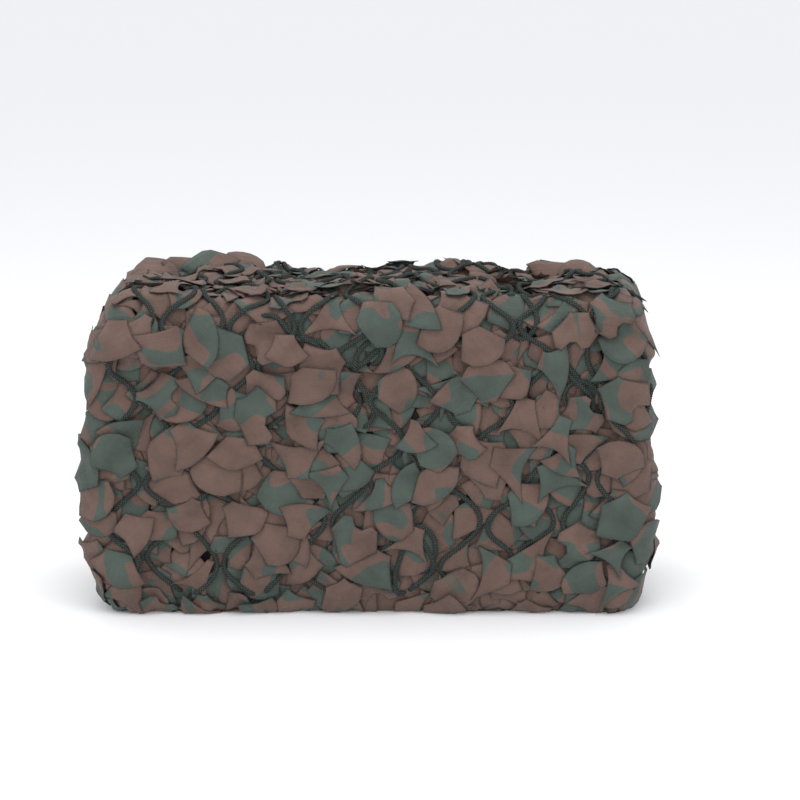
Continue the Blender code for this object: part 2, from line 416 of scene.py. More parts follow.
    def cut_at(self, station: Station, step: float) -> Cut:
        """Middle line and direction of the strip at a station.

        Args:
            station: The cross-wise line.
            step: Net step along X.

        Returns:
            The section there.
        """
        across = step / self.steps_across
        angle = math.radians(station.value)
        last = station.index != 0
        if station.part is Part.HEM:
            share = self.hem_shares[self.hem_heights.index(station.value)]
            return Cut(self.layer_y(station.index), station.value, 1 if last else -1, 0, None, share)
        if station.part is Part.FACE:
            height = self.face_height(station.index, step, station.value)
            facing = 1 if last else -1
            return Cut(self.layer_y(station.index), height, facing, 0, station.value, 1)
        if station.part is Part.INNER:
            facing = -1 if station.index % 2 == 0 else 1
            return Cut(self.layer_y(station.index), station.value, facing, 0, None, 1)
        if station.part is Part.TOP:
            row = self.face_steps + self.steps_per_loop * station.index
            row += station.value / self.loop_step
            ny, nz = -math.cos(angle), math.sin(angle)
            y = self.layer_y(2 * station.index) + self.bend + self.bend * ny
            z = self.loop_centre(station.index, across) + self.bend * nz
            return Cut(y, z, ny, nz, row, 1)
        ny, nz = math.cos(angle), math.sin(angle)
        y = self.layer_y(2 * station.index + 1) + self.bend - self.bend * ny
        return Cut(y, self.bottom_bend - self.bend * nz, ny, nz, None, 1)

    def station_layer(self, station: Station) -> int:
        """Layer that a station lies in, or next to.

        Args:
            station: The cross-wise line.

        Returns:
            Number of the layer.
        """
        if station.part is Part.TOP:
            return 2 * station.index + (station.value > QUARTER_TURN)
        if station.part is Part.BOTTOM:
            return 2 * station.index + 1 + (station.value > QUARTER_TURN)
        return station.index

    def place_x(self, step: float, edge: float | None, end: int, z: float, layer: int) -> float:
        """Place along X of a point of the strip.

        Args:
            step: Net step.
            edge: Distance from the nearest end, in the rounded stretch only.
            end: -1 at the left end, 1 at the right one, 0 between.
            z: Height.
            layer: Layer that the point lies in.

        Returns:
            The x coordinate.
        """
        inset = self.layer_inset(layer, z)
        left = inset - self.end_tip(-1, z)
        right = self.end_tip(1, z) - inset
        if end < 0:
            return left + edge
        if end > 0:
            return right - edge
        low = left + self.end_round
        return low + (right - self.end_round - low) * step / self.steps_across

    def cord_place(self, step: float, row: int) -> Vector:
        """Place on the net's grid, a little over the cloth, at a whole row.

        Args:
            step: Net step along X.
            row: Net row along the strip.

        Returns:
            The place.
        """
        shift = self.wander(step, row)
        back = row >= self.rows_over - self.face_steps
        if row <= self.face_steps or back:
            layer = self.layers - 1 if back else 0
            z = self.face_height(layer, step, row)
            out = self.thickness / 2 + self.crown(step, row) + self.cord_rise
            y = self.layer_y(layer) + (out if back else -out)
            return Vector((self.place_x(step, None, 0, z, layer) + shift, y, z))
        over = row - self.face_steps
        loop = min(max((over - 1) // self.steps_per_loop, 0), self.loops - 1)
        across = step / self.steps_across
        valley = over > 1 and (over - 1) % self.steps_per_loop == 0
        if valley and over < self.steps_per_loop * self.loops:
            base = max(self.loop_centre(loop - 1, across), self.loop_centre(loop, across))
            x = self.place_x(step, None, 0, base + self.reach / 2, 1) + shift
            z = base + self.valley_share * self.reach
            return Vector((x, self.layer_y(2 * loop) - self.bend, z))
        angle = self.loop_step * (over - self.steps_per_loop * loop)
        station = Station(Part.TOP, loop, angle)
        cut = self.cut_at(station, step)
        half = self.thickness / 2 + self.cord_rise
        x = self.place_x(step, None, 0, cut.z, self.station_layer(station)) + shift
        return Vector((x, cut.y + half * cut.ny, cut.z + half * cut.nz))

    def cord_point(self, step: float, row: float) -> Vector:
        """Place on the net's grid, a little over the cloth, at any row."""
        low = min(int(row), self.rows_over - 1)
        return self.cord_place(step, low).lerp(self.cord_place(step, low + 1), row - low)

    def outward(self, place: Vector) -> Vector:
        """Direction out of the bundle's rounded box at a place.

        Args:
            place: A place on the bundle or near it.

        Returns:
            The direction.
        """
        half = Vector((self.length, self.box_depth, self.box_height)) / 2
        local = place - Vector((0.0, 0.0, half.z))
        parts = [
            math.copysign(min(abs(value / size), self.box_most) ** self.box_power, value) / size
            for value, size in zip(local, half)
        ]
        return Vector(parts).normalized()


@dataclass(frozen=True)
class Nodes:
    """Short ways to add linked nodes to a material."""

    FACTOR = 0
    FIRST = 6
    SECOND = 7
    MIXED = 2

    tree: bpy.types.NodeTree

    def feed(self, node: bpy.types.Node, inputs: dict[str | int, object]) -> None:
        """Link sockets to a node's inputs, and set the others.

        Args:
            node: The node.
            inputs: A socket, a number or a colour, by the input's name or number.
        """
        for name, value in inputs.items():
            if isinstance(value, Socket):
                self.tree.links.new(value, node.inputs[name])
            else:
                opaque = (*value, 1.0) if isinstance(value, tuple) else value
                node.inputs[name].default_value = opaque

    def add(self, kind: str, output: str | int, inputs: dict[str | int, object],
            **settings: object) -> Socket:
        """Add a node.

        Args:
            kind: Type of the node, without its leading "ShaderNode".
            output: Name or number of the output that is wanted.
            inputs: What goes into it, as for feed.
            **settings: The node's own settings.

        Returns:
            The wanted output.
        """
        node = self.tree.nodes.new(f"ShaderNode{kind}")
        for name, value in settings.items():
            setattr(node, name, value)
        self.feed(node, inputs)
        return node.outputs[output]

    def math(self, operation: str, *values: Socket | float) -> Socket:
        """Result of a calculation."""
        return self.add("Math", 0, dict(enumerate(values)), operation=operation)

    def noise(self, where: Socket, scale: float, detail: float, distortion: float) -> Socket:
        """Value of a noise texture."""
        inputs = {"Vector": where, "Scale": scale, "Detail": detail, "Distortion": distortion}
        return self.add("TexNoise", "Fac", inputs)

    def span(self, value: Socket, low: Pair, high: Pair) -> Socket:
        """A value taken from one range to another, held at the ends.

        Args:
            value: The value.
            low: Ends of its own range.
            high: What they become.

        Returns:
            The new value.
        """
        names = ("From Min", "From Max", "To Min", "To Max")
        inputs = {"Value": value, **dict(zip(names, (*low, *high)))}
        return self.add("MapRange", "Result", inputs)

    def mix(self, share: Socket | float, first: Socket | Colour, second: Socket | Colour,
            blend: str = "MIX") -> Socket:
        """Mix of two colours."""
        inputs = {self.FACTOR: share, self.FIRST: first, self.SECOND: second}
        return self.add("Mix", self.MIXED, inputs, data_type="RGBA", blend_type=blend)

    def bump(self, height: Socket, strength: float, distance: float) -> Socket:
        """Direction of a surface that is raised by a height."""
        inputs = {"Height": height, "Strength": strength, "Distance": distance}
        return self.add("Bump", "Normal", inputs)


@dataclass(frozen=True)
class Finish:
    """A plain matt finish."""

    name: str
    colour: Colour = (0.92, 0.92, 0.93)
    roughness: float = 0.6
    specular: float = 0.5

    def inputs(self, nodes: Nodes) -> dict[str | int, object]:
        """What goes into the finish's shader, with the nodes that make it.

        Args:
            nodes: The finish's nodes.

        Returns:
            A socket, a number or a colour, by the input's name.
        """
        return {
            "Base Color": self.colour,
            "Roughness": self.roughness,
            "Specular IOR Level": self.specular,
        }

    def build(self) -> Material:
        """Make the material.

        Returns:
            The material.
        """
        material = bpy.data.materials.new(self.name)
        material.use_nodes = True
        nodes = Nodes(material.node_tree)
        nodes.feed(material.node_tree.nodes["Principled BSDF"], self.inputs(nodes))
        return material


@dataclass(frozen=True)
class PrintFinish(Finish):
    """Matt rip-stop cloth with a two-colour blotched print, sizes in metres, and painted shade:
    along the leaves' cut edges, and all over the inner plies.
    """

    roughness: float = 0.82
    specular: float = 0.28
    brown: Colour = (0.121, 0.075, 0.060)
    green: Colour = (0.058, 0.076, 0.064)
    painted_ply_shade: Colour = (0.09, 0.10, 0.11)
    blotch: Triple = (17.0, 1.5, 0.9)
    green_from: Pair = (0.525, 0.537)
    tone: Triple = (38.0, 3.0, 0.2)
    tone_from: Pair = (0.3, 0.7)
    tone_to: Pair = (0.78, 1.22)
    slit_shade_from: Pair = (0.945, 1.0)
    slit_shade_to: Pair = (1.0, 0.30)
    crease: Triple = (60.0, 4.0, 0.4)
    threads: tuple[Pair, ...] = ((0.0007, 0.12), (0.0055, 0.35))
    thread_from: Pair = (0.75, 1.0)
    waves_a_metre: float = 0.314
    bump: Pair = (0.6, 0.0012)
    sheen: Pair = (0.12, 0.5)
    on_leaves: bool = True

    def inputs(self, nodes: Nodes) -> dict[str | int, object]:
        """What goes into the finish's shader; leaves have their own flat cloth's coordinates.

        Args:
            nodes: The finish's nodes.

        Returns:
            A socket, a number or a colour, by the input's name.
        """
        if self.on_leaves:
            where = nodes.add("UVMap", "UV", {}, uv_map="print")
        else:
            where = nodes.add("TexCoord", "Object", {})
        return {
            **super().inputs(nodes),
            "Base Color": self._print(nodes, where),
            "Normal": nodes.bump(self._height(nodes, where), *self.bump),
            "Sheen Weight": self.sheen[0],
            "Sheen Roughness": self.sheen[1],
        }

    def _print(self, nodes: Nodes, where: Socket) -> Socket:
        """Brown and green blotches of uneven tone, with painted shade along the leaves' cut edges
        and painted shade darkening the inner plies all over.

        Args:
            nodes: The finish's nodes.
            where: Coordinates on the cloth.

        Returns:
            The colour.
        """
        green = nodes.span(nodes.noise(where, *self.blotch), self.green_from, (0.0, 1.0))
        colour = nodes.mix(green, self.brown, self.green)
        tone = nodes.span(nodes.noise(where, *self.tone), self.tone_from, self.tone_to)
        colour = nodes.mix(1.0, colour, tone, "MULTIPLY")
        # The inner plies get painted shade all over: their print is darkened to stand for the shadow
        # in the gaps between the leaves.
        if not self.on_leaves:
            return nodes.mix(1.0, colour, self.painted_ply_shade, "MULTIPLY")
        # Painted shade along each leaf's cut edge, standing for the shadow in the slits between
        # leaves.
        edge = nodes.span(self._slit_shade_mask(nodes), self.slit_shade_from, self.slit_shade_to)
        return nodes.mix(1.0, colour, edge, "MULTIPLY")

    def _slit_shade_mask(self, nodes: Nodes) -> Socket:
        """Mask of the painted slit shade: one at a leaf's cut edge and nothing in its middle.

        Args:
            nodes: The finish's nodes.

        Returns:
            The value.
        """
        place = nodes.add("UVMap", "UV", {}, uv_map="cut")
        parts = nodes.add("SeparateXYZ", "X", {"Vector": place}).node.outputs
        sizes = [nodes.math("ABSOLUTE", parts[axis]) for axis in ("X", "Y")]
        return nodes.math("MAXIMUM", *sizes)

    def _height(self, nodes: Nodes, where: Socket) -> Socket:
        """Fine weave, the rip-stop grid and small creases.

        Args:
            nodes: The finish's nodes.
            where: Coordinates on the cloth.

        Returns:
            The height.
        """
        height = nodes.noise(where, *self.crease)
        for axis in ("X", "Y"):
            for pitch, share in self.threads:
                inputs = {"Vector": where, "Scale": self.waves_a_metre / pitch}
                wave = nodes.add("TexWave", "Fac", inputs, bands_direction=axis)
                thread = nodes.span(wave, self.thread_from, (0.0, share))
                height = nodes.math("ADD", height, thread)
        return height


@dataclass(frozen=True)
class CordFinish(Finish):
    """Matt knitted cord: painted highlights on its stitches and painted shade in the hollows between
    them.
    """

    roughness: float = 0.88
    specular: float = 0.3
    hollow_shade: Colour = (0.006, 0.009, 0.008)
    stitch_highlight: Colour = (0.052, 0.065, 0.057)
    stitch_highlight_from: Pair = (0.25, 0.95)
    fuzz: Triple = (0.9, 3.0, 0.0)
    uneven: float = 1.3
    bump: Pair = (0.7, 0.0005)

    def inputs(self, nodes: Nodes) -> dict[str | int, object]:
        """What goes into the finish's shader, on the cord's own rings and sides.

        Args:
            nodes: The finish's nodes.

        Returns:
            A socket, a number or a colour, by the input's name.
        """
        place = nodes.add("UVMap", "UV", {}, uv_map="yarn")
        fuzz = nodes.noise(place, *self.fuzz)
        loose = nodes.math("MULTIPLY_ADD", fuzz, self.uneven, -self.uneven / 2)
        height = nodes.math("ADD", self._stitch(nodes, place), loose)
        # The colour follows the stitches' height: painted highlight on the raised stitches, painted
        # shade in the hollows between them.
        share = nodes.span(height, self.stitch_highlight_from, (0.0, 1.0))
        return {
            **super().inputs(nodes),
            "Base Color": nodes.mix(share, self.hollow_shade, self.stitch_highlight),
            "Normal": nodes.bump(height, *self.bump),
        }

    def _stitch(self, nodes: Nodes, place: Socket) -> Socket:
        """One on every second ring and side of the cord, nothing between.

        Args:
            nodes: The finish's nodes.
            place: Ring and side of the cord.

        Returns:
            The value.
        """
        parts = nodes.add("SeparateXYZ", "X", {"Vector": place}).node.outputs
        turned = [nodes.math("MULTIPLY", parts[axis], math.pi) for axis in ("X", "Y")]
        both = nodes.math("MULTIPLY", *(nodes.math("COSINE", angle) for angle in turned))
        return nodes.math("MULTIPLY_ADD", both, 0.5, 0.5)


def add_piece(mesh: Mesh, name: str, material: Material,
              replaced: tuple[str, ...]) -> Object:
    """Turn a bmesh into a piece that rides on the part's one body.

    Args:
        mesh: The mesh, which is freed.
        name: Name of the piece.
        material: Its finish.
        replaced: Nodes that it stands for.

    Returns:
        The new object.
    """
    data = bpy.data.meshes.new(name)
    mesh.to_mesh(data)
    mesh.free()
    data.materials.append(material)
    data.shade_smooth()
    piece = bpy.data.objects.new(name, data)
    bpy.context.scene.collection.objects.link(piece)
    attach(piece, BODY)
    if replaced:
        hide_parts(*replaced)
    triangles = sum(len(face.vertices) - 2 for face in data.polygons)
    LOG.info("%s: %d triangles", name, triangles)
    return piece


@dataclass
class FoldedCloth:
    """The inner plies: one strip folded back and forth, on the solid's folds."""

    shape: BundleShape
    face_split: int = 2
    loop_angle: float = 10.0
    bottom_splits: int = 4
    hidden_parts: int = 3

    def stations(self) -> list[Station]:
        """The strip's cross-wise lines, from the front hem to the back hem.

        Returns:
            The lines, in order.
        """
        shape = self.shape
        last = shape.layers - 1
        rows = [Station(Part.HEM, 0, height) for height in shape.hem_heights]
        half_rows = range(shape.face_steps * self.face_split)
        rows += [Station(Part.FACE, 0, n / self.face_split) for n in half_rows]
        angles = [self.loop_angle * n for n in range(round(HALF_TURN / self.loop_angle) + 1)]
        floor = math.degrees(math.asin(shape.bottom_bend / shape.reach))
        rise = [floor * n / self.bottom_splits for n in range(self.bottom_splits + 1)]
        lower = rise + [HALF_TURN - angle for angle in reversed(rise)]
        for loop in range(shape.loops):
            rows += [Station(Part.TOP, loop, angle) for angle in angles]
            if loop < shape.loops - 1:
                heights = shape.inner_heights
                rows += [Station(Part.INNER, 2 * loop + 1, z) for z in reversed(heights)]
                rows += [Station(Part.BOTTOM, loop, angle) for angle in lower]
                rows += [Station(Part.INNER, 2 * loop + 2, z) for z in heights]
        first = shape.rows_over - shape.face_steps
        rows += [Station(Part.FACE, last, first + (n + 1) / self.face_split) for n in half_rows]
        rows += [Station(Part.HEM, last, height) for height in reversed(shape.hem_heights)]
        return rows

    def is_outer(self, station: Station, side: Side) -> bool:
        """Whether a side of the strip shows at a station.

        Args:
            station: The cross-wise line.
            side: The side.

        Returns:
            True where it shows.
        """
        if station.part is Part.BOTTOM:
            return side is Side.RIGHT
        return station.part is not Part.INNER and side is Side.LEFT

    def kept_station(self, station: Station) -> Station:
        """A side that doesn't show needs few rows, so its rows move to the nearest kept one.

        Args:
            station: The cross-wise line.

        Returns:
            The kept one.
        """
        if station.part in (Part.TOP, Part.BOTTOM):
            angle = 0.0 if station.value < QUARTER_TURN else float(HALF_TURN)
            return Station(station.part, station.index, angle)
        if station.part is Part.FACE:
            gap = self.shape.face_steps // self.hidden_parts
            if station.index == 0:
                return Station(Part.FACE, 0, gap * round(station.value / gap))
            below = self.shape.rows_over - station.value
            kept = self.shape.rows_over - gap * round(below / gap)
            return Station(Part.FACE, station.index, kept)
        return station

    @property
    def columns(self) -> int:
        """Number of faces along X."""
        return self.shape.steps_across * self.face_split + 2 * len(self.shape.end_steps)

    def column_place(self, column: int) -> tuple[float, float | None, int]:
        """Net step, distance from the nearest end, and which end, for a column.

        Args:
            column: Number of the column.

        Returns:
            The step, the distance, which is None between the ends, and -1, 0 or 1 for the end.
        """
        ends = len(self.shape.end_steps)
        if column < ends:
            return 0, self.shape.end_steps[column], -1
        if column > self.columns - ends:
            return self.shape.steps_across, self.shape.end_steps[self.columns - column], 1
        return (column - ends) / self.face_split, None, 0

    def end_share(self, edge: float | None) -> float:
        """Share of the thickness left near an end.

        Args:
            edge: Distance from the nearest end, or None between the ends.

        Returns:
            The share.
        """
        if edge is None:
            return 1.0
        share = math.sqrt(1 - (1 - edge / self.shape.end_round) ** 2)
        return max(self.shape.end_share_least, share)

    def point(self, station: Station, column: int, side: Side) -> Vector:
        """Place of one point of the folded strip.

        Args:
            station: The cross-wise line.
            column: Number of the column.
            side: Side of the strip.

        Returns:
            The place.
        """
        shape = self.shape
        step, edge, end = self.column_place(column)
        outer = self.is_outer(station, side)
        if not outer:
            station = self.kept_station(station)
            step = shape.cell * round(step / shape.cell)
        cut = shape.cut_at(station, step)
        half = shape.thickness / 2 * cut.share * self.end_share(edge)
        shift = 0.0
        if outer and cut.row is not None:
            half += shape.crown(step, cut.row)
            if edge is None:
                half += shape.relief(step, cut.row, shape.relief_reach(station))
                shift = shape.wander(step, cut.row)
        x = shape.place_x(step, edge, end, cut.z, shape.station_layer(station)) + shift
        y = cut.y + side.value * half * cut.ny
        z = max(cut.z + side.value * half * cut.nz, shape.floor_clear)
        return Vector((x, y, z))

    def sort_faces(self, mesh: Mesh) -> None:
        """Put the faces in the order of their corners, which is the same in each run.

        Args:
            mesh: The strip's mesh.
        """
        mesh.verts.index_update()
        corners = {face: sorted(vert.index for vert in face.verts) for face in mesh.faces}
        count = len(mesh.verts)
        mesh.faces.sort(key=lambda face: corners[face][0] * count + corners[face][-1])

    def build(self, material: Material) -> Object:
        """Fold the strip and make it the piece that stands for the inner plies.

        Args:
            material: Its finish.

        Returns:
            The piece.
        """
        rows = self.stations()
        mesh = bmesh.new()
        last = len(rows) - 1
        bmesh.ops.create_grid(mesh, size=0.5, x_segments=self.columns, y_segments=last)
        bmesh.ops.solidify(mesh, geom=list(mesh.faces), thickness=0.1)
        self.sort_faces(mesh)
        heights = [vert.co.z for vert in mesh.verts]
        middle = (max(heights) + min(heights)) / 2
        for vert in mesh.verts:
            column = round((vert.co.x + 0.5) * self.columns)
            row = round((vert.co.y + 0.5) * last)
            side = Side.LEFT if vert.co.z > middle else Side.RIGHT
            vert.co = self.point(rows[row], column, side)
        bmesh.ops.remove_doubles(mesh, verts=list(mesh.verts), dist=MERGE)
        bmesh.ops.recalc_face_normals(mesh, faces=list(mesh.faces))
        return add_piece(mesh, "inner_plies", material, ("leaf_cloth",))


class Pile:
    """What lies on the bundle so far, to lay the next leaf or cord on."""

    CELL = 0.05

    def __init__(self, base: Object) -> None:
        """Start with the folded cloth.

        Args:
            base: The folded cloth.
        """
        mesh = base.data
        points = [vert.co.copy() for vert in mesh.vertices]
        faces = [tuple(face.vertices) for face in mesh.polygons]
        self.base = BVHTree.FromPolygons(points, faces)
        self.cells: dict[Cell, list[BVHTree]] = defaultdict(list)

    def _key(self, place: Vector) -> Cell:
        """Cell that a place lies in."""
        return tuple(math.floor(value / self.CELL) for value in place)

    def add(self, mesh: Mesh, piece: Mesh) -> None:
        """Lay a leaf or a cord on the pile, add it to its piece's mesh and free it.

        Args:
            mesh: The leaf or the cord.
            piece: Mesh of its piece.
        """
        mesh.verts.index_update()
        points = [vert.co.copy() for vert in mesh.verts]
        faces = [tuple(vert.index for vert in face.verts) for face in mesh.faces]
        tree = BVHTree.FromPolygons(points, faces)
        for key in {self._key(point) for point in points}:
            self.cells[key].append(tree)
        data = bpy.data.meshes.new("laid")
        mesh.to_mesh(data)
        mesh.free()
        piece.from_mesh(data)
        bpy.data.meshes.remove(data)

    def near(self, places: list[Vector]) -> list[BVHTree]:
        """What lies near some places, with the folded cloth first.

        Args:
            places: The places.

        Returns:
            A search tree for each thing.
        """
        found = {}
        for place in places:
            for tree in self.cells.get(self._key(place), ()):
                found[id(tree)] = tree
        return [self.base, *found.values()]

    def height(self, place: Vector, outward: Vector, trees: list[BVHTree], reach: float,
               depth: float) -> float:
        """Height of the outermost thing over or under a place.

        Args:
            place: The place to look at.
            outward: Direction in which heights are measured.
            trees: What may lie there.
            reach: Greatest height that is looked at.
            depth: Greatest depth, which is also the answer past the edge.

        Returns:
            The height in metres, less than nothing for a depth.
        """
        start = place + outward * reach
        best = reach + depth
        for tree in trees:
            hit = tree.ray_cast(start, -outward, best)
            if hit[0] is not None:
                best = hit[3]
        return reach - best


@dataclass(frozen=True)
class Leaf:
    """One cut flap: its outline in metres, from the neck down to the lip."""

    FULLNESS = 0.8
    ROUND_POWER = 0.6
    TWIN_POWER = 0.7
    POINT_POWER = 0.8
    SLANTED_SHARES = (0.35, 0.55)
    NOTCH = 0.55

    kind: LeafCut
    half_width: float
    side: float
    bulge: float
    neck: float
    flare: float
    slant: float

    @property
    def middle(self) -> float:
        """From the neck to the flap's middle."""
        return (self.side + self.FULLNESS * self.bulge) / 2

    def lip(self, across: float) -> float:
        """Distance of the lip from the neck, across from -1 to 1.

        Args:
            across: Place across, from -1 to 1.

        Returns:
            The distance.
        """
        inner = 1 - across * across
        share = inner ** (self.ROUND_POWER if self.kind is LeafCut.SCALLOP else self.POINT_POWER)
        if self.kind is LeafCut.TWIN:
            share = (1 - (2 * abs(across) - 1) ** 2) ** self.TWIN_POWER
        elif self.kind is LeafCut.POINTED:
            share = (1 - abs(across)) ** self.POINT_POWER
        elif self.kind is LeafCut.SLANTED:
            middle, edge = self.SLANTED_SHARES
            share = middle * inner + edge * (1 + across) / 2
        elif self.kind is LeafCut.NOTCHED:
            share = 1 - self.NOTCH * inner
        return self.side + self.bulge * share

    def point(self, across: float, down: float) -> Pair:
        """Flat place of a point of the flap, across from -1 to 1 and down from 0 to 1.

        Args:
            across: Place across, from -1 to 1.
            down: Place down, from 0 to 1.

        Returns:
            The point's place across and down.
        """
        width = self.half_width * (self.neck + (1 - self.neck) * down ** self.flare)
        length = down * self.lip(across) - self.middle
        return across * width + self.slant * length, length


@dataclass(frozen=True)
class Seed:
    """Where a leaf goes: its middle, the way out and to its lip, and how it may lie."""

    place: Vector
    out: Vector
    down: Vector
    reach: float
    depth: float
    piece: str
    steepest: float
    size: float = 1.0
    kind: LeafCut | None = None


@dataclass(frozen=True)
class Flap:
    """A stiff leaf that stands up: its place, how far it leans back, and its turn."""

    place: Triple
    lean: float
    turn: float


@dataclass
class LeafCover:
    """The leaves, cut from the cloth and laid over each other like uneven shingles."""

    START = 0.001
    FAR = 0.2

    shape: BundleShape
    pile: Pile
    rng: random.Random
    spacing: float = 0.0156
    tries: float = 8.0
    splits: int = 7
    cloth: float = 0.00045
    lift: float = 0.0006
    steepest: float = 0.60
    top_steepest: float = 2.2
    top_size: float = 0.80
    top_follow: float = 2.4
    steepest_past_edge: float = 1.9
    edge_depth: float = -0.007
    reach: float = 0.03
    top_reach: float = 0.012
    top_depth: float = 0.022
    stiff: float = 0.002
    weights: tuple[int, ...] = (4, 2, 2, 3, 4, 3)
    top_end: float = 0.018
    brim_lean: float = 0.8
    overhang: float = 0.0015
    top_overhang: float = 0.0120
    hold_in: float = 0.80
    faces_end: float = 0.30
    upper_share: float = 0.36
    end_leaves: int = 5
    end_heights: Pair = (0.03, 0.235)
    end_aside: float = 0.045
    end_turn: float = 0.9
    lowest: float = 0.006
    face_end: float = 0.75
    least_facing: float = 0.2
    top_from: float = 0.6
    level_from: float = 0.75
    facing_shares: Pair = (0.8, 0.2)
    turned_from: float = 0.55
    turn: float = 0.75
    brim_turn: float = 0.5
    blur: float = 0.03
    widths: Pair = (0.0180, 0.0265)
    sides: Pair = (0.014, 0.023)
    bulges: Pair = (0.010, 0.020)
    necks: Pair = (0.15, 0.5)
    slants: Pair = (-0.25, 0.25)
    scallop_flares: Pair = (0.7, 1.5)
    flares: Pair = (0.9, 2.2)
    standing: tuple[Flap, ...] = (
        Flap((-0.182, 0.040, 0.2560), lean=0.85, turn=-0.4),
        Flap((-0.156, 0.046, 0.2580), lean=0.80, turn=-0.2),
        Flap((-0.133, 0.044, 0.2640), lean=0.65, turn=0.15),
        Flap((-0.106, 0.048, 0.2590), lean=0.85, turn=-0.3),
        Flap((0.154, 0.036, 0.2560), lean=0.75, turn=-0.25),
        Flap((0.174, 0.030, 0.2550), lean=0.80, turn=-0.2),
    )
    lip_curl: float = 0.0020
    curls: Pair = (-0.2, 1.0)
    lip_power: int = 4
    crease: float = 0.0007
    crease_width: float = 0.5
    smoothing: int = 4
    floor: float = 0.0008
    meshes: dict[str, Mesh] = field(default_factory=lambda: defaultdict(bmesh.new))
    seeds: list[Seed] = field(default_factory=list)
    spare: list[Seed] = field(default_factory=list)

    def scatter(self, base: Object) -> None:
        """Choose the leaves' places on the front, the top and the back, evenly but unevenly.

        Places that would crowd the others are kept too, to close gaps with later.

        Args:
            base: The folded cloth.
        """
        mesh = base.data
        faces = [face for face in mesh.polygons if face.center.z > self.lowest]
        areas = np.array([face.area for face in faces])
        total = int(self.tries * areas.sum() / self.spacing ** 2)
        edges = np.cumsum(areas) / areas.sum()
        taken: dict[Cell, list[Vector]] = defaultdict(list)
        for _try in range(total):
            face = faces[int(np.searchsorted(edges, self.rng.random()))]
            corners = [mesh.vertices[index].co for index in face.vertices]
            one, two = sorted((self.rng.random(), self.rng.random()))
            place = corners[0] * one + corners[1] * (two - one) + corners[-1] * (1 - two)
            envelope = self.shape.outward(place)
            if abs(envelope.x) > self.face_end or face.normal.dot(envelope) < self.least_facing:
                continue
            seed = self._seed(place, envelope, face.normal)
            if self._covered(place, seed.out):
                continue
            key = tuple(math.floor(value / self.spacing) for value in place)
            if self._crowded(place, key, taken):
                self.spare.append(seed)
                continue
            taken[key].append(place)
            self.seeds.append(seed)
        self.seeds.sort(key=lambda seed: seed.place.z + self.rng.uniform(-self.blur, self.blur))
        LOG.info("leaves: %d places, %d to spare", len(self.seeds), len(self.spare))

    def _seed(self, place: Vector, envelope: Vector, normal: Vector) -> Seed:
        """Turn a place into a leaf's seed; leaves on the top follow its long folds.

        Args:
            place: The place.
            envelope: Direction out of the bundle's rounded box.
            normal: Direction out of the cloth.

        Returns:
            The seed.
        """
        on_top = envelope.z > self.top_from
        out = envelope * self.facing_shares[0] + normal * self.facing_shares[1]
        if on_top:
            follow = self.top_follow
            out = Vector((0.0, envelope.y + follow * normal.y, envelope.z + follow * normal.z))
        out.normalize()
        down = Vector((0.0, -1.0, 0.0) if out.z > self.level_from else (0.0, 0.0, -1.0))
        wide = self.rng.random() > self.turned_from
        turn = self.rng.uniform(-math.pi, math.pi) if wide else self.rng.gauss(0, self.turn)
        reach, depth = (self.top_reach, self.top_depth) if on_top else (self.reach, self.reach)
        if on_top and self._end_gap(place) < self.top_end:
            end = math.copysign(1.0, place.x)
            out = (out + Vector((end * self.brim_lean, 0.0, 0.0))).normalized()
            down = Vector((end, 0.0, -1.0))
            turn = self.rng.gauss(0, self.brim_turn)
            depth = self.reach
        down = Matrix.Rotation(turn, 3, out) @ (down - out * down.dot(out)).normalized()
        piece = "leaves_top"
        if not on_top:
            piece = "leaves_front" if envelope.y < 0 else "leaves_back"
            piece += "_left" if place.x < 0 else "_right"
        steepest, size = (self.top_steepest, self.top_size) if on_top else (self.steepest, 1.0)
        return Seed(place, out, down, reach, depth, piece, steepest, size)

    def split(self) -> tuple[list[Seed], list[Seed]]:
        """Seeds of the leaves under the cords, and of those over them.

        Returns:
            The lower seeds and the upper ones.
        """
        under: list[Seed] = []
        upper: list[Seed] = []
        for seed in self.seeds:
            (upper if self.rng.random() < self.upper_share else under).append(seed)
        return under, upper

    def close_gaps(self) -> None:
        """Lay one more leaf wherever the folded cloth still shows."""
        closed = 0
        for seed in self.spare:
            trees = self.pile.near([seed.place])[1:]
            if self.pile.height(seed.place, seed.out, trees, seed.reach, 0.0) > 0.0:
                continue
            self.lay([seed])
            closed += 1
        LOG.info("leaves: %d more to close gaps", closed)

    def over_ends(self) -> list[Seed]:
        """Seeds of the few leaves that lie across the folds' ends.

        Returns:
            The seeds.
        """
        seeds = []
        for end, piece in ENDS:
            for _number in range(self.end_leaves):
                z = self.rng.uniform(*self.end_heights)
                y = self.rng.uniform(-self.end_aside, self.end_aside)
                place = Vector((end * self.shape.end_tip(end, z), y, z))
                out = Vector((end, 0.0, 0.0))
                turn = Matrix.Rotation(self.rng.gauss(0, self.end_turn), 3, out)
                down = turn @ Vector((0.0, 0.0, -1.0))
                seeds.append(Seed(place, out, down, self.reach, self.reach, piece, self.steepest))
        return seeds

    def flaps(self) -> list[Seed]:
        """Seeds of the stiff leaves that stand up along the top's back edge.

        Returns:
            The seeds.
        """
        seeds = []
        for flap in self.standing:
            sine, cosine = math.sin(flap.lean), math.cos(flap.lean)
            out = Vector((0.0, -cosine, sine))
            seeds.append(Seed(
                place=Vector(flap.place),
                out=out,
                down=Matrix.Rotation(flap.turn, 3, out) @ Vector((0.0, sine, cosine)),
                reach=self.top_reach,
                depth=self.stiff,
                piece="leaves_top",
                steepest=self.steepest,
                kind=LeafCut.POINTED if flap.turn > 0 else LeafCut.SCALLOP,
            ))
        return seeds

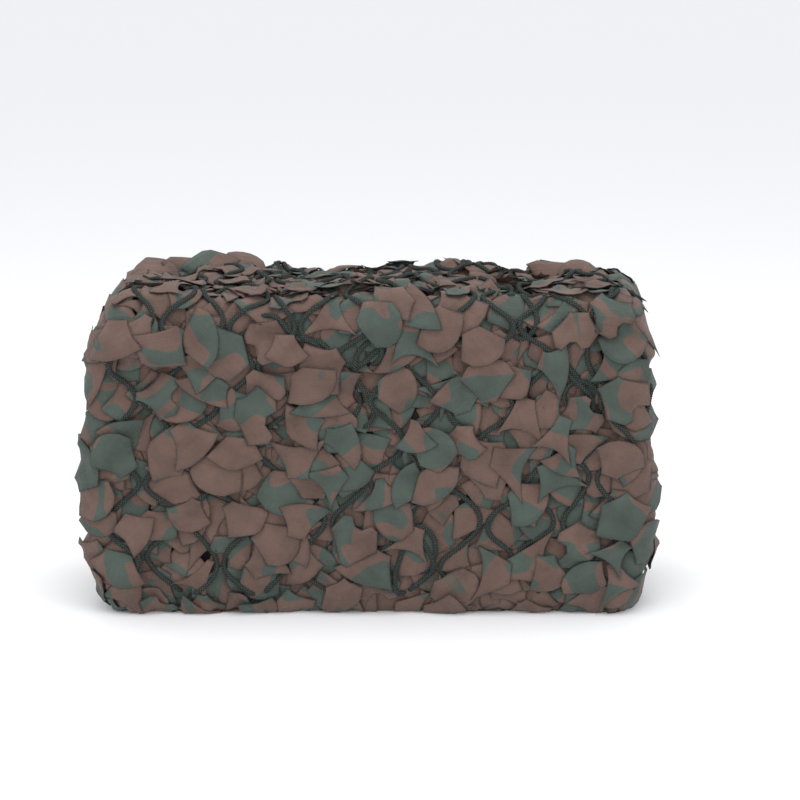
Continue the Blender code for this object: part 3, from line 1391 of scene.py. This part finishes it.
    def _crowded(self, place: Vector, key: Cell, taken: dict[Cell, list[Vector]]) -> bool:
        """Whether another leaf's place is too near.

        Args:
            place: The place.
            key: Cell that it lies in.
            taken: Places so far, by their cells.

        Returns:
            True where one is too near.
        """
        for move in product((-1, 0, 1), repeat=3):
            near = taken.get(tuple(map(sum, zip(key, move))), ())
            if any((other - place).length < self.spacing for other in near):
                return True
        return False

    def _end_gap(self, place: Vector) -> float:
        """How far a place is from the nearer end of the bundle."""
        return self.shape.end_tip(place.x, place.z) - abs(place.x)

    def _held_in(self, point: Vector, seed: Seed) -> float:
        """Place along X of a flap's point, drawn in where it stands out past the end.

        Args:
            point: The point.
            seed: The flap's seed.

        Returns:
            The x coordinate.
        """
        if abs(seed.out.x) > self.faces_end:
            return point.x
        overhang = self.top_overhang if seed.piece == "leaves_top" else self.overhang
        over = max(-self._end_gap(point) - overhang, 0.0)
        return point.x - math.copysign(over * self.hold_in, point.x)

    def _covered(self, place: Vector, out: Vector) -> bool:
        """Whether the folded cloth itself lies over a place."""
        hit = self.pile.base.ray_cast(place + out * self.START, out, self.FAR)
        return hit[0] is not None

    def leaf(self, size: float = 1.0, kind: LeafCut | None = None) -> Leaf:
        """Draw one leaf's outline, of a size and of a kind that is given or drawn too.

        Args:
            size: Its size, as a share.
            kind: Its outline, or None to draw one.

        Returns:
            The leaf.
        """
        rng = self.rng
        drawn = rng.choices(list(LeafCut), weights=self.weights)[0]
        kind = kind or drawn
        flare = rng.uniform(*(self.scallop_flares if kind is LeafCut.SCALLOP else self.flares))
        return Leaf(
            kind=kind,
            half_width=size * rng.uniform(*self.widths),
            side=size * rng.uniform(*self.sides),
            bulge=size * rng.uniform(*self.bulges),
            neck=rng.uniform(*self.necks),
            flare=flare,
            slant=rng.uniform(*self.slants),
        )

    def lay(self, seeds: list[Seed]) -> None:
        """Drape leaves over the pile, one after the other, each at its seed.

        Args:
            seeds: The seeds, in order.
        """
        for seed in seeds:
            leaf = self.leaf(seed.size, seed.kind)
            shares = self.shares(self.splits)
            flat = [leaf.point(*share) for share in shares]
            spots = self._spots(seed, flat)
            need = self._need(seed, leaf, self.pile.near(spots))
            drape = self._drape(np.array(flat), need, seed.steepest)
            points = []
            for spot, height, rise in zip(spots, drape, self.lip_rise(shares)):
                point = spot + seed.out * (height + self.lift + rise)
                point.x = self._held_in(point, seed)
                point.z = max(point.z, self.floor)
                points.append(point)
            self.add(shares, flat, points, seed.piece)

    def shares(self, splits: int) -> list[Pair]:
        """Places on a leaf, across from -1 to 1 and down from 0 to 1, row by row.

        Args:
            splits: Number of faces across and down.

        Returns:
            The places.
        """
        return [
            (2 * column / splits - 1, row / splits)
            for row in range(splits + 1)
            for column in range(splits + 1)
        ]

    def lip_rise(self, shares: list[Pair]) -> list[float]:
        """How far the leaf stands off: a crease across it, and its lip a little up.

        Args:
            shares: The leaf's points.

        Returns:
            A height for each point.
        """
        curl = self.rng.uniform(*self.curls) * self.lip_curl
        angle = self.rng.uniform(0, math.pi)
        along = (math.cos(angle), math.sin(angle))
        shift = self.rng.uniform(-self.crease_width, self.crease_width)
        fold = self.crease * self.rng.random()
        rises = []
        for across, down in shares:
            away = abs(across * along[0] + (2 * down - 1) * along[1] - shift)
            crease = fold * max(0.0, 1 - away / self.crease_width)
            rises.append(down ** self.lip_power * curl + crease)
        return rises

    def _spots(self, seed: Seed, flat: list[Pair]) -> list[Vector]:
        """Places of a leaf's points in the plane through its seed."""
        across = seed.down.cross(seed.out)
        return [seed.place + across * a + seed.down * b for a, b in flat]

    def _need(self, seed: Seed, leaf: Leaf, trees: list[BVHTree]) -> np.ndarray:
        """Least height of each of the leaf's points, so that it clears all between them too.

        Args:
            seed: The leaf's seed.
            leaf: The leaf.
            trees: What may lie under it.

        Returns:
            The heights, row by row.
        """
        fine = 2 * self.splits
        spots = self._spots(seed, [leaf.point(*share) for share in self.shares(fine)])
        found = [self.pile.height(spot, seed.out, trees, seed.reach, seed.depth) for spot in spots]
        wide = np.pad(np.array(found).reshape(fine + 1, fine + 1), 1, mode="edge")
        windows = [wide[row:row + fine + 1:2, column:column + fine + 1:2]
                   for row in range(3) for column in range(3)]
        return np.maximum.reduce(windows)

    def _drape(self, flat: np.ndarray, need: np.ndarray, steepest: float) -> list[float]:
        """Let a flat flap sink onto the heights under it, as steep as cloth bends.

        Args:
            flat: The flap's points on its own plane.
            need: Least height at each point.
            steepest: Steepest slope that it takes, but for past an edge.

        Returns:
            The flap's heights.
        """
        flat = flat.reshape(*need.shape, 2)
        level = need.copy()
        lower = np.minimum(need[1:], need[:-1])
        down = self._fall(np.diff(flat, axis=0), lower, steepest)
        lower = np.minimum(need[:, 1:], need[:, :-1])
        across = self._fall(np.diff(flat, axis=1), lower, steepest)
        for _pass in range(self.splits):
            level[1:] = np.maximum(level[1:], level[:-1] - down)
            level[:-1] = np.maximum(level[:-1], level[1:] - down)
            level[:, 1:] = np.maximum(level[:, 1:], level[:, :-1] - across)
            level[:, :-1] = np.maximum(level[:, :-1], level[:, 1:] - across)
        for _pass in range(self.smoothing):
            wide = np.pad(level, 1, mode="edge")
            mean = (wide[:-2, 1:-1] + wide[2:, 1:-1] + wide[1:-1, :-2] + wide[1:-1, 2:]) / 4
            level = np.maximum(need, (level + mean) / 2)
        return level.ravel().tolist()

    def _fall(self, gaps: np.ndarray, lower: np.ndarray, steepest: float) -> np.ndarray:
        """How far the flap may fall from point to point, which is more past an edge."""
        steep = np.where(lower < self.edge_depth, self.steepest_past_edge, steepest)
        return np.linalg.norm(gaps, axis=2) * steep

    def add(self, shares: list[Pair], flat: list[Pair],
            points: list[Vector], piece: str) -> None:
        """Add a laid flap to its piece and to the pile, with its print and cut-edge places.

        Args:
            shares: The flap's points from -1 to 1 across and 0 to 1 down.
            flat: The same points on the uncut cloth, in metres.
            points: The same points where they lie.
            piece: Name of the piece that it goes into.
        """
        one = bmesh.new()
        bmesh.ops.create_grid(one, x_segments=self.splits, y_segments=self.splits, size=1.0)
        printed = one.loops.layers.uv.new("print")
        cut = one.loops.layers.uv.new("cut")
        middle = points[len(points) // 2]
        shift = (middle.x + middle.y + self.rng.uniform(-self.blur, self.blur),
                 middle.z - middle.y + self.rng.uniform(-self.blur, self.blur))
        turn = self.rng.uniform(-math.pi, math.pi)
        places = {}
        for vert in one.verts:
            column = round((vert.co.x + 1) / 2 * self.splits)
            row = round((vert.co.y + 1) / 2 * self.splits)
            places[vert] = row * (self.splits + 1) + column
        for loop in (loop for face in one.faces for loop in face.loops):
            across, down = flat[places[loop.vert]]
            loop[printed].uv = (
                shift[0] + across * math.cos(turn) - down * math.sin(turn),
                shift[1] + across * math.sin(turn) + down * math.cos(turn),
            )
            share = shares[places[loop.vert]]
            loop[cut].uv = (share[0], 2 * share[1] - 1)
        for vert, place in places.items():
            vert.co = points[place]
        self.pile.add(one, self.meshes[piece])

    def build(self, material: Material) -> list[Object]:
        """Turn the laid leaves into pieces, each with the cloth's thickness.

        Args:
            material: Their finish.

        Returns:
            The pieces.
        """
        pieces = []
        for name, mesh in self.meshes.items():
            piece = add_piece(mesh, name, material, ())
            solid = piece.modifiers.new("cloth", "SOLIDIFY")
            solid.thickness = self.cloth
            solid.offset = 1.0
            pieces.append(piece)
        return pieces


@dataclass
class EndFringe:
    """Leaves that wrap round the ends of the folded layers, a column of them on each layer."""

    shape: BundleShape
    cover: LeafCover
    spacing: float = 0.0150
    first: float = 0.010
    widest: float = 0.0125
    lip: float = 0.0020
    loose_lip: float = 0.0045
    loose_share: float = 0.3
    hold: float = 0.0017
    gaps: Pair = (0.75, 1.25)
    turn: float = 0.6
    loose_power: int = 3

    def path(self, layer: int, along: float) -> tuple[float, float, float, float]:
        """Middle of a layer at a length up the strip, and the direction across it.

        Args:
            layer: Number of the layer.
            along: Length from the floor, which runs on over the upper fold.

        Returns:
            The place (y, z) and the direction (y, z).
        """
        shape = self.shape
        centre = shape.loop_centre(layer // 2, 0.5)
        if along <= centre:
            return shape.layer_y(layer), along, 1.0, 0.0
        angle = min((along - centre) / shape.bend, math.pi / 2)
        facing = -1 if layer % 2 == 0 else 1
        middle = shape.layer_y(2 * (layer // 2)) + shape.bend
        y = middle + facing * shape.bend * math.cos(angle)
        z = centre + shape.bend * math.sin(angle)
        return y, z, math.cos(angle), facing * math.sin(angle)

    def place(self, end: int, layer: int, around: float, along: float) -> tuple[Vector, Vector]:
        """Point of the rounded end of a layer, and the direction out of it.

        Args:
            end: -1 for the left end and 1 for the right one.
            layer: Number of the layer.
            around: Length round the end, from its tip.
            along: Length up the strip.

        Returns:
            The place and the direction.
        """
        shape = self.shape
        half = shape.thickness / 2
        y, z, across_y, across_z = self.path(layer, along)
        angle = math.pi / 2 * math.tanh(around / self.widest)
        back = shape.end_round * (1 - math.cos(angle))
        x = end * (shape.end_tip(end, z) - shape.layer_inset(layer, z) - back)
        aside = half * math.sin(angle)
        out = Vector((
            end * math.cos(angle) / shape.end_round,
            math.sin(angle) / half * across_y,
            math.sin(angle) / half * across_z,
        ))
        return Vector((x, y + aside * across_y, z + aside * across_z)), out.normalized()

    def lay(self) -> None:
        """Lay every layer's leaves at both ends, from the floor up."""
        for end, piece in ENDS:
            for layer in range(self.shape.layers):
                top = self.shape.loop_centre(layer // 2, 0.5) + self.shape.bend
                along = self.first + self.cover.rng.uniform(0, self.spacing)
                while along < top:
                    self._lay_one(end, layer, along, piece)
                    along += self.spacing * self.cover.rng.uniform(*self.gaps)

    def _lay_one(self, end: int, layer: int, along: float, piece: str) -> None:
        """Wrap one leaf round a layer's end, its lip over the leaf below.

        Args:
            end: -1 for the left end and 1 for the right one.
            layer: Number of the layer.
            along: Length up the strip.
            piece: Name of its piece.
        """
        cover = self.cover
        leaf = cover.leaf()
        turn = cover.rng.gauss(0, self.turn)
        loose = self.loose_lip * cover.rng.random() if cover.rng.random() < self.loose_share else 0.0
        shares = cover.shares(cover.splits)
        flat = [leaf.point(*share) for share in shares]
        points = []
        for (a, b), share, rise in zip(flat, shares, cover.lip_rise(shares)):
            around = a * math.cos(turn) - b * math.sin(turn)
            drop = a * math.sin(turn) + b * math.cos(turn)
            where, out = self.place(end, layer, end * around, along - drop)
            stand = self.lip * share[1] + loose * share[1] ** self.loose_power
            point = where + out * (self.hold + stand + max(rise, 0.0))
            point.z = max(point.z, cover.floor)
            points.append(point)
        cover.add(shares, flat, points, piece)


@dataclass
class CordNet:
    """Knitted cords that run zig-zag from foot to foot and meet their neighbours at knots."""

    STRAY_STEP = 0.4
    LOOP_POINTS = 24
    LOOP_WAVES = 4
    LATEST_START = 6

    shape: BundleShape
    pile: Pile
    rng: random.Random
    radius: float = 0.0021
    spacing: float = 0.0011
    sides: int = 8
    bump: float = 0.13
    flat: float = 0.82
    sunk: float = 0.7
    press: float = 0.0003
    tuck: float = 0.010
    tuck_points: int = 4
    knot_gap: float = 0.17
    knot_rows: int = 3
    samples: int = 4
    slack: float = 0.0011
    rough_gap: float = 0.0025
    rough_passes: int = 3
    fine_passes: int = 2
    reach: float = 0.012
    depth: float = 0.006
    strays: int = 12
    stray_lengths: Pair = (10.0, 26.0)
    stray_bend: float = 0.5
    stray_turn: float = 0.38
    stray_ease: float = 0.4
    turn_every: int = 5
    edge_steps: float = 0.3
    edge_rows: float = 0.5
    loop_widths: Pair = (0.020, 0.045)
    loop_aside: float = 0.03
    loop_drops: Pair = (-0.02, 0.06)
    loop_sway: float = 0.010
    curl_sizes: Pair = (0.7, 0.9)
    curl_oval: Pair = (0.6, 1.4)
    end_loops: tuple[tuple[int, float], ...] = (
        (-1, 0.236), (-1, 0.222), (-1, 0.118), (1, 0.240), (1, 0.165), (1, 0.080),
    )
    curls: tuple[tuple[float, float, float, float], ...] = (
        (0.216, 0.182, 0.0120, 0.55),
        (0.220, 0.194, 0.0130, 0.60),
        (0.215, 0.205, 0.0120, 0.50),
    )
    meshes: dict[str, Mesh] = field(default_factory=lambda: defaultdict(bmesh.new))

    def route(self, number: int) -> list[Vector]:
        """One cord's points on the net's grid, before it is laid down.

        Args:
            number: Number of the cord, from the left.

        Returns:
            The route's points.
        """
        shape = self.shape
        half = shape.cell / 4
        swing = half - self.knot_gap
        lean = 1 if number % 2 else -1
        points = []
        for count in range(shape.rows_over * self.samples + 1):
            row = count / self.samples
            turn = math.cos(math.pi * row / self.knot_rows)
            step = shape.cell / 2 * number + half + lean * swing * turn
            slack = self.slack * CORD_WAVE.at(row, number)
            points.append(shape.cord_point(step, row) + Vector((slack, 0, 0)))
        return points

    def even(self, points: list[Vector], gap: float) -> list[Vector]:
        """Points at an even gap along a route.

        Args:
            points: The route's points.
            gap: The gap in metres.

        Returns:
            The new points.
        """
        lengths = [0.0]
        for first, second in zip(points, points[1:]):
            lengths.append(lengths[-1] + (second - first).length)
        count = max(2, round(lengths[-1] / gap))
        targets = np.linspace(0, lengths[-1], count + 1)
        columns = [np.interp(targets, lengths, [point[axis] for point in points])
                   for axis in range(3)]
        return [Vector(values) for values in zip(*columns)]

    def smooth(self, points: list[Vector], passes: int) -> list[Vector]:
        """Ease the corners out of a route.

        Args:
            points: The route's points.
            passes: How often they are eased.

        Returns:
            The new points.
        """
        for _pass in range(passes):
            points = [points[0]] + [
                (before + here * 2 + after) / 4
                for before, here, after in zip(points, points[1:], points[2:])
            ] + [points[-1]]
        return points

    def settle(self, points: list[Vector]) -> list[Vector]:
        """Lay a route on the pile, pressed a little into it.

        Args:
            points: The route's points.

        Returns:
            The new points.
        """
        trees = self.pile.near(points)
        lifts = []
        for point in points:
            out = self.shape.outward(point)
            height = self.pile.height(point, out, trees, self.reach, self.depth)
            lifts.append(height + self.sunk * self.radius)
        ease = np.array(lifts)
        for _pass in range(self.fine_passes):
            wide = np.pad(ease, 1, mode="edge")
            ease = np.maximum(ease - self.press, (wide[:-2] + 2 * ease + wide[2:]) / 4)
        places = np.arange(len(points))
        from_end = np.minimum(places, places[::-1])
        ease -= self.tuck * np.clip(1 - from_end / self.tuck_points, 0, 1)
        ease = np.clip(ease, -self.reach, self.reach)
        return [point + self.shape.outward(point) * float(lift)
                for point, lift in zip(points, ease)]

    def lay(self, name: str, points: list[Vector]) -> None:
        """Lay one cord along a route and add it to a piece.

        Args:
            name: Name of the piece.
            points: The route's points.
        """
        route = self.smooth(self.even(points, self.rough_gap), self.rough_passes)
        route = self.settle(self.even(route, self.rough_gap))
        route = self.even(self.smooth(route, self.fine_passes), self.spacing)
        mesh = bmesh.new()
        rings = len(route) - 1
        bmesh.ops.create_grid(mesh, x_segments=rings, y_segments=self.sides, size=0.5)
        yarn = mesh.loops.layers.uv.new("yarn")
        places = {}
        for vert in mesh.verts:
            places[vert] = (round((vert.co.x + 0.5) * rings), round((vert.co.y + 0.5) * self.sides))
        for loop in (loop for face in mesh.faces for loop in face.loops):
            loop[yarn].uv = places[loop.vert]
        frames = self._frames(route)
        for vert, (ring, side) in places.items():
            vert.co = self._tube_point(route, frames, ring, side)
        bmesh.ops.remove_doubles(mesh, verts=list(mesh.verts), dist=MERGE)
        bmesh.ops.recalc_face_normals(mesh, faces=list(mesh.faces))
        self.pile.add(mesh, self.meshes[name])

    def _frames(self, route: list[Vector]) -> list[tuple[Vector, Vector]]:
        """Outward and sideways directions along a route.

        Args:
            route: The route's points.

        Returns:
            Both directions at each point.
        """
        frames = []
        last = len(route) - 1
        for index, point in enumerate(route):
            run = (route[min(index + 1, last)] - route[max(index - 1, 0)]).normalized()
            out = self.shape.outward(point)
            aside = run.cross(out).normalized()
            frames.append((aside.cross(run).normalized(), aside))
        return frames

    def _tube_point(self, route: list[Vector], frames: list[tuple[Vector, Vector]], ring: int,
                    side: int) -> Vector:
        """Place of a point on a cord's knitted surface, closed to a tip at its ends.

        Args:
            route: The route's points.
            frames: Both directions at each point.
            ring: Number of the ring.
            side: Number of the side.

        Returns:
            The place.
        """
        if ring in (0, len(route) - 1):
            return route[ring].copy()
        side = side % self.sides
        angle = 2 * math.pi * side / self.sides - math.pi / 2
        size = self.radius * (1 + self.bump * (-1) ** (ring + side))
        out, aside = frames[ring]
        raised = out * size * self.flat * math.sin(angle)
        return route[ring] + aside * size * math.cos(angle) + raised

    def stray(self, step: float, row: float, heading: float, length: float) -> list[Vector]:
        """A slack cord's route over the net's grid, in loose curves.

        Args:
            step: Where it starts across, in grid steps.
            row: Where it starts along the strip, in grid rows.
            heading: Its first direction on the grid.
            length: Its length in grid steps.

        Returns:
            The route's points.
        """
        shape = self.shape
        points = []
        bend = self.rng.uniform(-self.stray_bend, self.stray_bend)
        last_step = shape.steps_across - self.edge_steps
        last_row = shape.rows_over - self.edge_rows
        for count in range(round(length / self.STRAY_STEP)):
            if count % self.turn_every == 0:
                turn = self.rng.uniform(-self.stray_turn, self.stray_turn)
                bend = self.stray_ease * bend + turn
            heading += bend
            step += self.STRAY_STEP * math.cos(heading)
            step = min(max(step, self.edge_steps), last_step)
            row += self.STRAY_STEP * math.sin(heading)
            row = min(max(row, self.edge_rows), last_row)
            points.append(shape.cord_point(step, row))
        return points

    def end_loop(self, end: int, high: float) -> list[Vector]:
        """A slack loop that hangs over the folds' ends.

        Args:
            end: -1 for the left end and 1 for the right one.
            high: Height of the loop's shoulders.

        Returns:
            The route's points.
        """
        shape = self.shape
        width = self.rng.uniform(*self.loop_widths)
        middle = self.rng.uniform(-self.loop_aside, self.loop_aside)
        drop = self.rng.uniform(*self.loop_drops)
        phase = self.rng.uniform(0, self.LATEST_START)
        points = []
        for count in range(self.LOOP_POINTS + 1):
            share = 2 * count / self.LOOP_POINTS - 1
            y = middle + width * share
            y = min(max(y, -shape.core_depth / 2), shape.core_depth / 2)
            sway = self.loop_sway * math.sin(self.LOOP_WAVES * share + phase)
            z = high - drop * (1 - share ** 2) + sway
            points.append(Vector((end * shape.end_tip(end, z), y, z)))
        return points

    def curl(self, x: float, z: float, radius: float, turns: float) -> list[Vector]:
        """A curled-up bit of cord on the front.

        Args:
            x: Its middle across.
            z: Its middle's height.
            radius: Radius of the curl at its start.
            turns: How far it goes round.

        Returns:
            The route's points.
        """
        points = []
        start = self.rng.uniform(0, self.LATEST_START)
        wide, high = self.curl_oval
        y = -self.shape.core_depth / 2 - self.shape.cord_rise
        for count in range(self.LOOP_POINTS + 1):
            share = count / self.LOOP_POINTS
            angle = start + 2 * math.pi * turns * share
            size = radius * (self.curl_sizes[0] + self.curl_sizes[1] * share)
            across = x + wide * size * math.cos(angle)
            points.append(Vector((across, y, z + high * size * math.sin(angle))))
        return points

    def lay_all(self) -> None:
        """Lay the slack cords, then every cord that runs from foot to foot."""
        shape = self.shape
        for end, high in self.end_loops:
            self.lay("net_cords_slack", self.end_loop(end, high))
        for x, z, radius, turns in self.curls:
            self.lay("net_cords_slack", self.curl(x, z, radius, turns))
        for _number in range(self.strays):
            step = self.rng.uniform(1, shape.steps_across - 1)
            row = self.rng.uniform(1, shape.rows_over - 1)
            heading = self.rng.uniform(-math.pi, math.pi)
            length = self.rng.uniform(*self.stray_lengths)
            self.lay("net_cords_slack", self.stray(step, row, heading, length))
        cords = 2 * shape.steps_across // shape.cell
        for number in range(cords):
            name = "net_cords_left" if number < cords // 2 else "net_cords_right"
            self.lay(name, self.route(number))

    def build(self, material: Material) -> list[Object]:
        """Turn the laid cords into pieces."""
        return [add_piece(mesh, name, material, ("cord_net",))
                for name, mesh in self.meshes.items()]


@dataclass(frozen=True)
class Lamp:
    """A square light: its place, the place that it points at, its width and its power."""

    name: str
    place: Triple
    aim: Triple
    size: float
    power: float

    def build(self) -> None:
        """Make the light."""
        data = bpy.data.lights.new(self.name, "AREA")
        data.size = self.size
        data.energy = self.power
        light = bpy.data.objects.new(self.name, data)
        light.location = self.place
        way = Vector(self.aim) - Vector(self.place)
        light.rotation_euler = way.to_track_quat("-Z", "Y").to_euler()
        bpy.context.scene.collection.objects.link(light)


@dataclass
class Studio:
    """Pale floor, soft light and the camera at the photo's angle."""

    elevation: float = 15.0
    distance: float = 1.72
    lens: float = 94.0
    target: Triple = (0.025, -0.02, 0.171)
    floor_size: float = 60.0
    sky: Colour = (0.97, 0.98, 1.0)
    sky_strength: float = 0.97
    lamps: tuple[Lamp, ...] = (
        Lamp("top_light", (0.0, -0.25, 1.5), (0.0, 0.0, 0.15), 1.1, 11.0),
        Lamp("front_light", (-0.7, -1.6, 0.75), (0.0, 0.0, 0.12), 1.2, 6.0),
        Lamp("right_light", (1.3, -0.9, 0.8), (0.0, 0.0, 0.12), 0.9, 3.0),
    )

    def build(self) -> None:
        """Make the stage, the lights and the camera."""
        self._floor()
        self._world()
        for lamp in self.lamps:
            lamp.build()
        self._camera()

    def _floor(self) -> None:
        """A whitish floor, which isn't part of the object."""
        mesh = bmesh.new()
        bmesh.ops.create_grid(mesh, x_segments=1, y_segments=1, size=self.floor_size)
        data = bpy.data.meshes.new("studio_floor")
        mesh.to_mesh(data)
        mesh.free()
        data.materials.append(Finish("studio_floor").build())
        floor = bpy.data.objects.new("studio_floor", data)
        bpy.context.scene.collection.objects.link(floor)

    def _world(self) -> None:
        """Even whitish surroundings, with colours shown as they are."""
        world = bpy.data.worlds.new("studio")
        world.use_nodes = True
        background = world.node_tree.nodes["Background"]
        background.inputs["Color"].default_value = (*self.sky, 1.0)
        background.inputs["Strength"].default_value = self.sky_strength
        bpy.context.scene.world = world
        bpy.context.scene.view_settings.view_transform = "Standard"

    def _camera(self) -> None:
        """The camera, a little above the bundle's front."""
        data = bpy.data.cameras.new("camera")
        data.lens = self.lens
        camera = bpy.data.objects.new("camera", data)
        lean = math.radians(self.elevation)
        back = Vector((0.0, -math.cos(lean), math.sin(lean)))
        camera.location = Vector(self.target) + back * self.distance
        camera.rotation_euler = (math.radians(QUARTER_TURN - self.elevation), 0.0, 0.0)
        bpy.context.scene.collection.objects.link(camera)
        bpy.context.scene.camera = camera


def main() -> None:
    """Build the net and its studio."""
    logging.basicConfig(level=logging.INFO, format="%(name)s: %(message)s")
    shape = BundleShape()
    cloth_finish = PrintFinish("printed_leaves").build()
    # The inner plies' print, darkened all over by painted shade.
    plies_finish = PrintFinish("printed_plies_painted_shade", on_leaves=False).build()
    cord_finish = CordFinish("net_cord").build()

    folded = FoldedCloth(shape)
    plies = folded.build(plies_finish)
    pile = Pile(plies)

    cover = LeafCover(shape, pile, random.Random(LEAF_SEED))
    EndFringe(shape, cover).lay()
    cover.scatter(plies)
    under, upper = cover.split()
    cover.lay(under)
    cover.close_gaps()

    net = CordNet(shape, pile, random.Random(CORD_SEED))
    net.lay_all()

    cover.lay(upper + cover.over_ends() + cover.flaps())
    cover.close_gaps()
    leaves = cover.build(cloth_finish)
    ropes = net.build(cord_finish)
    Studio().build()


if __name__ == "__main__":
    main()
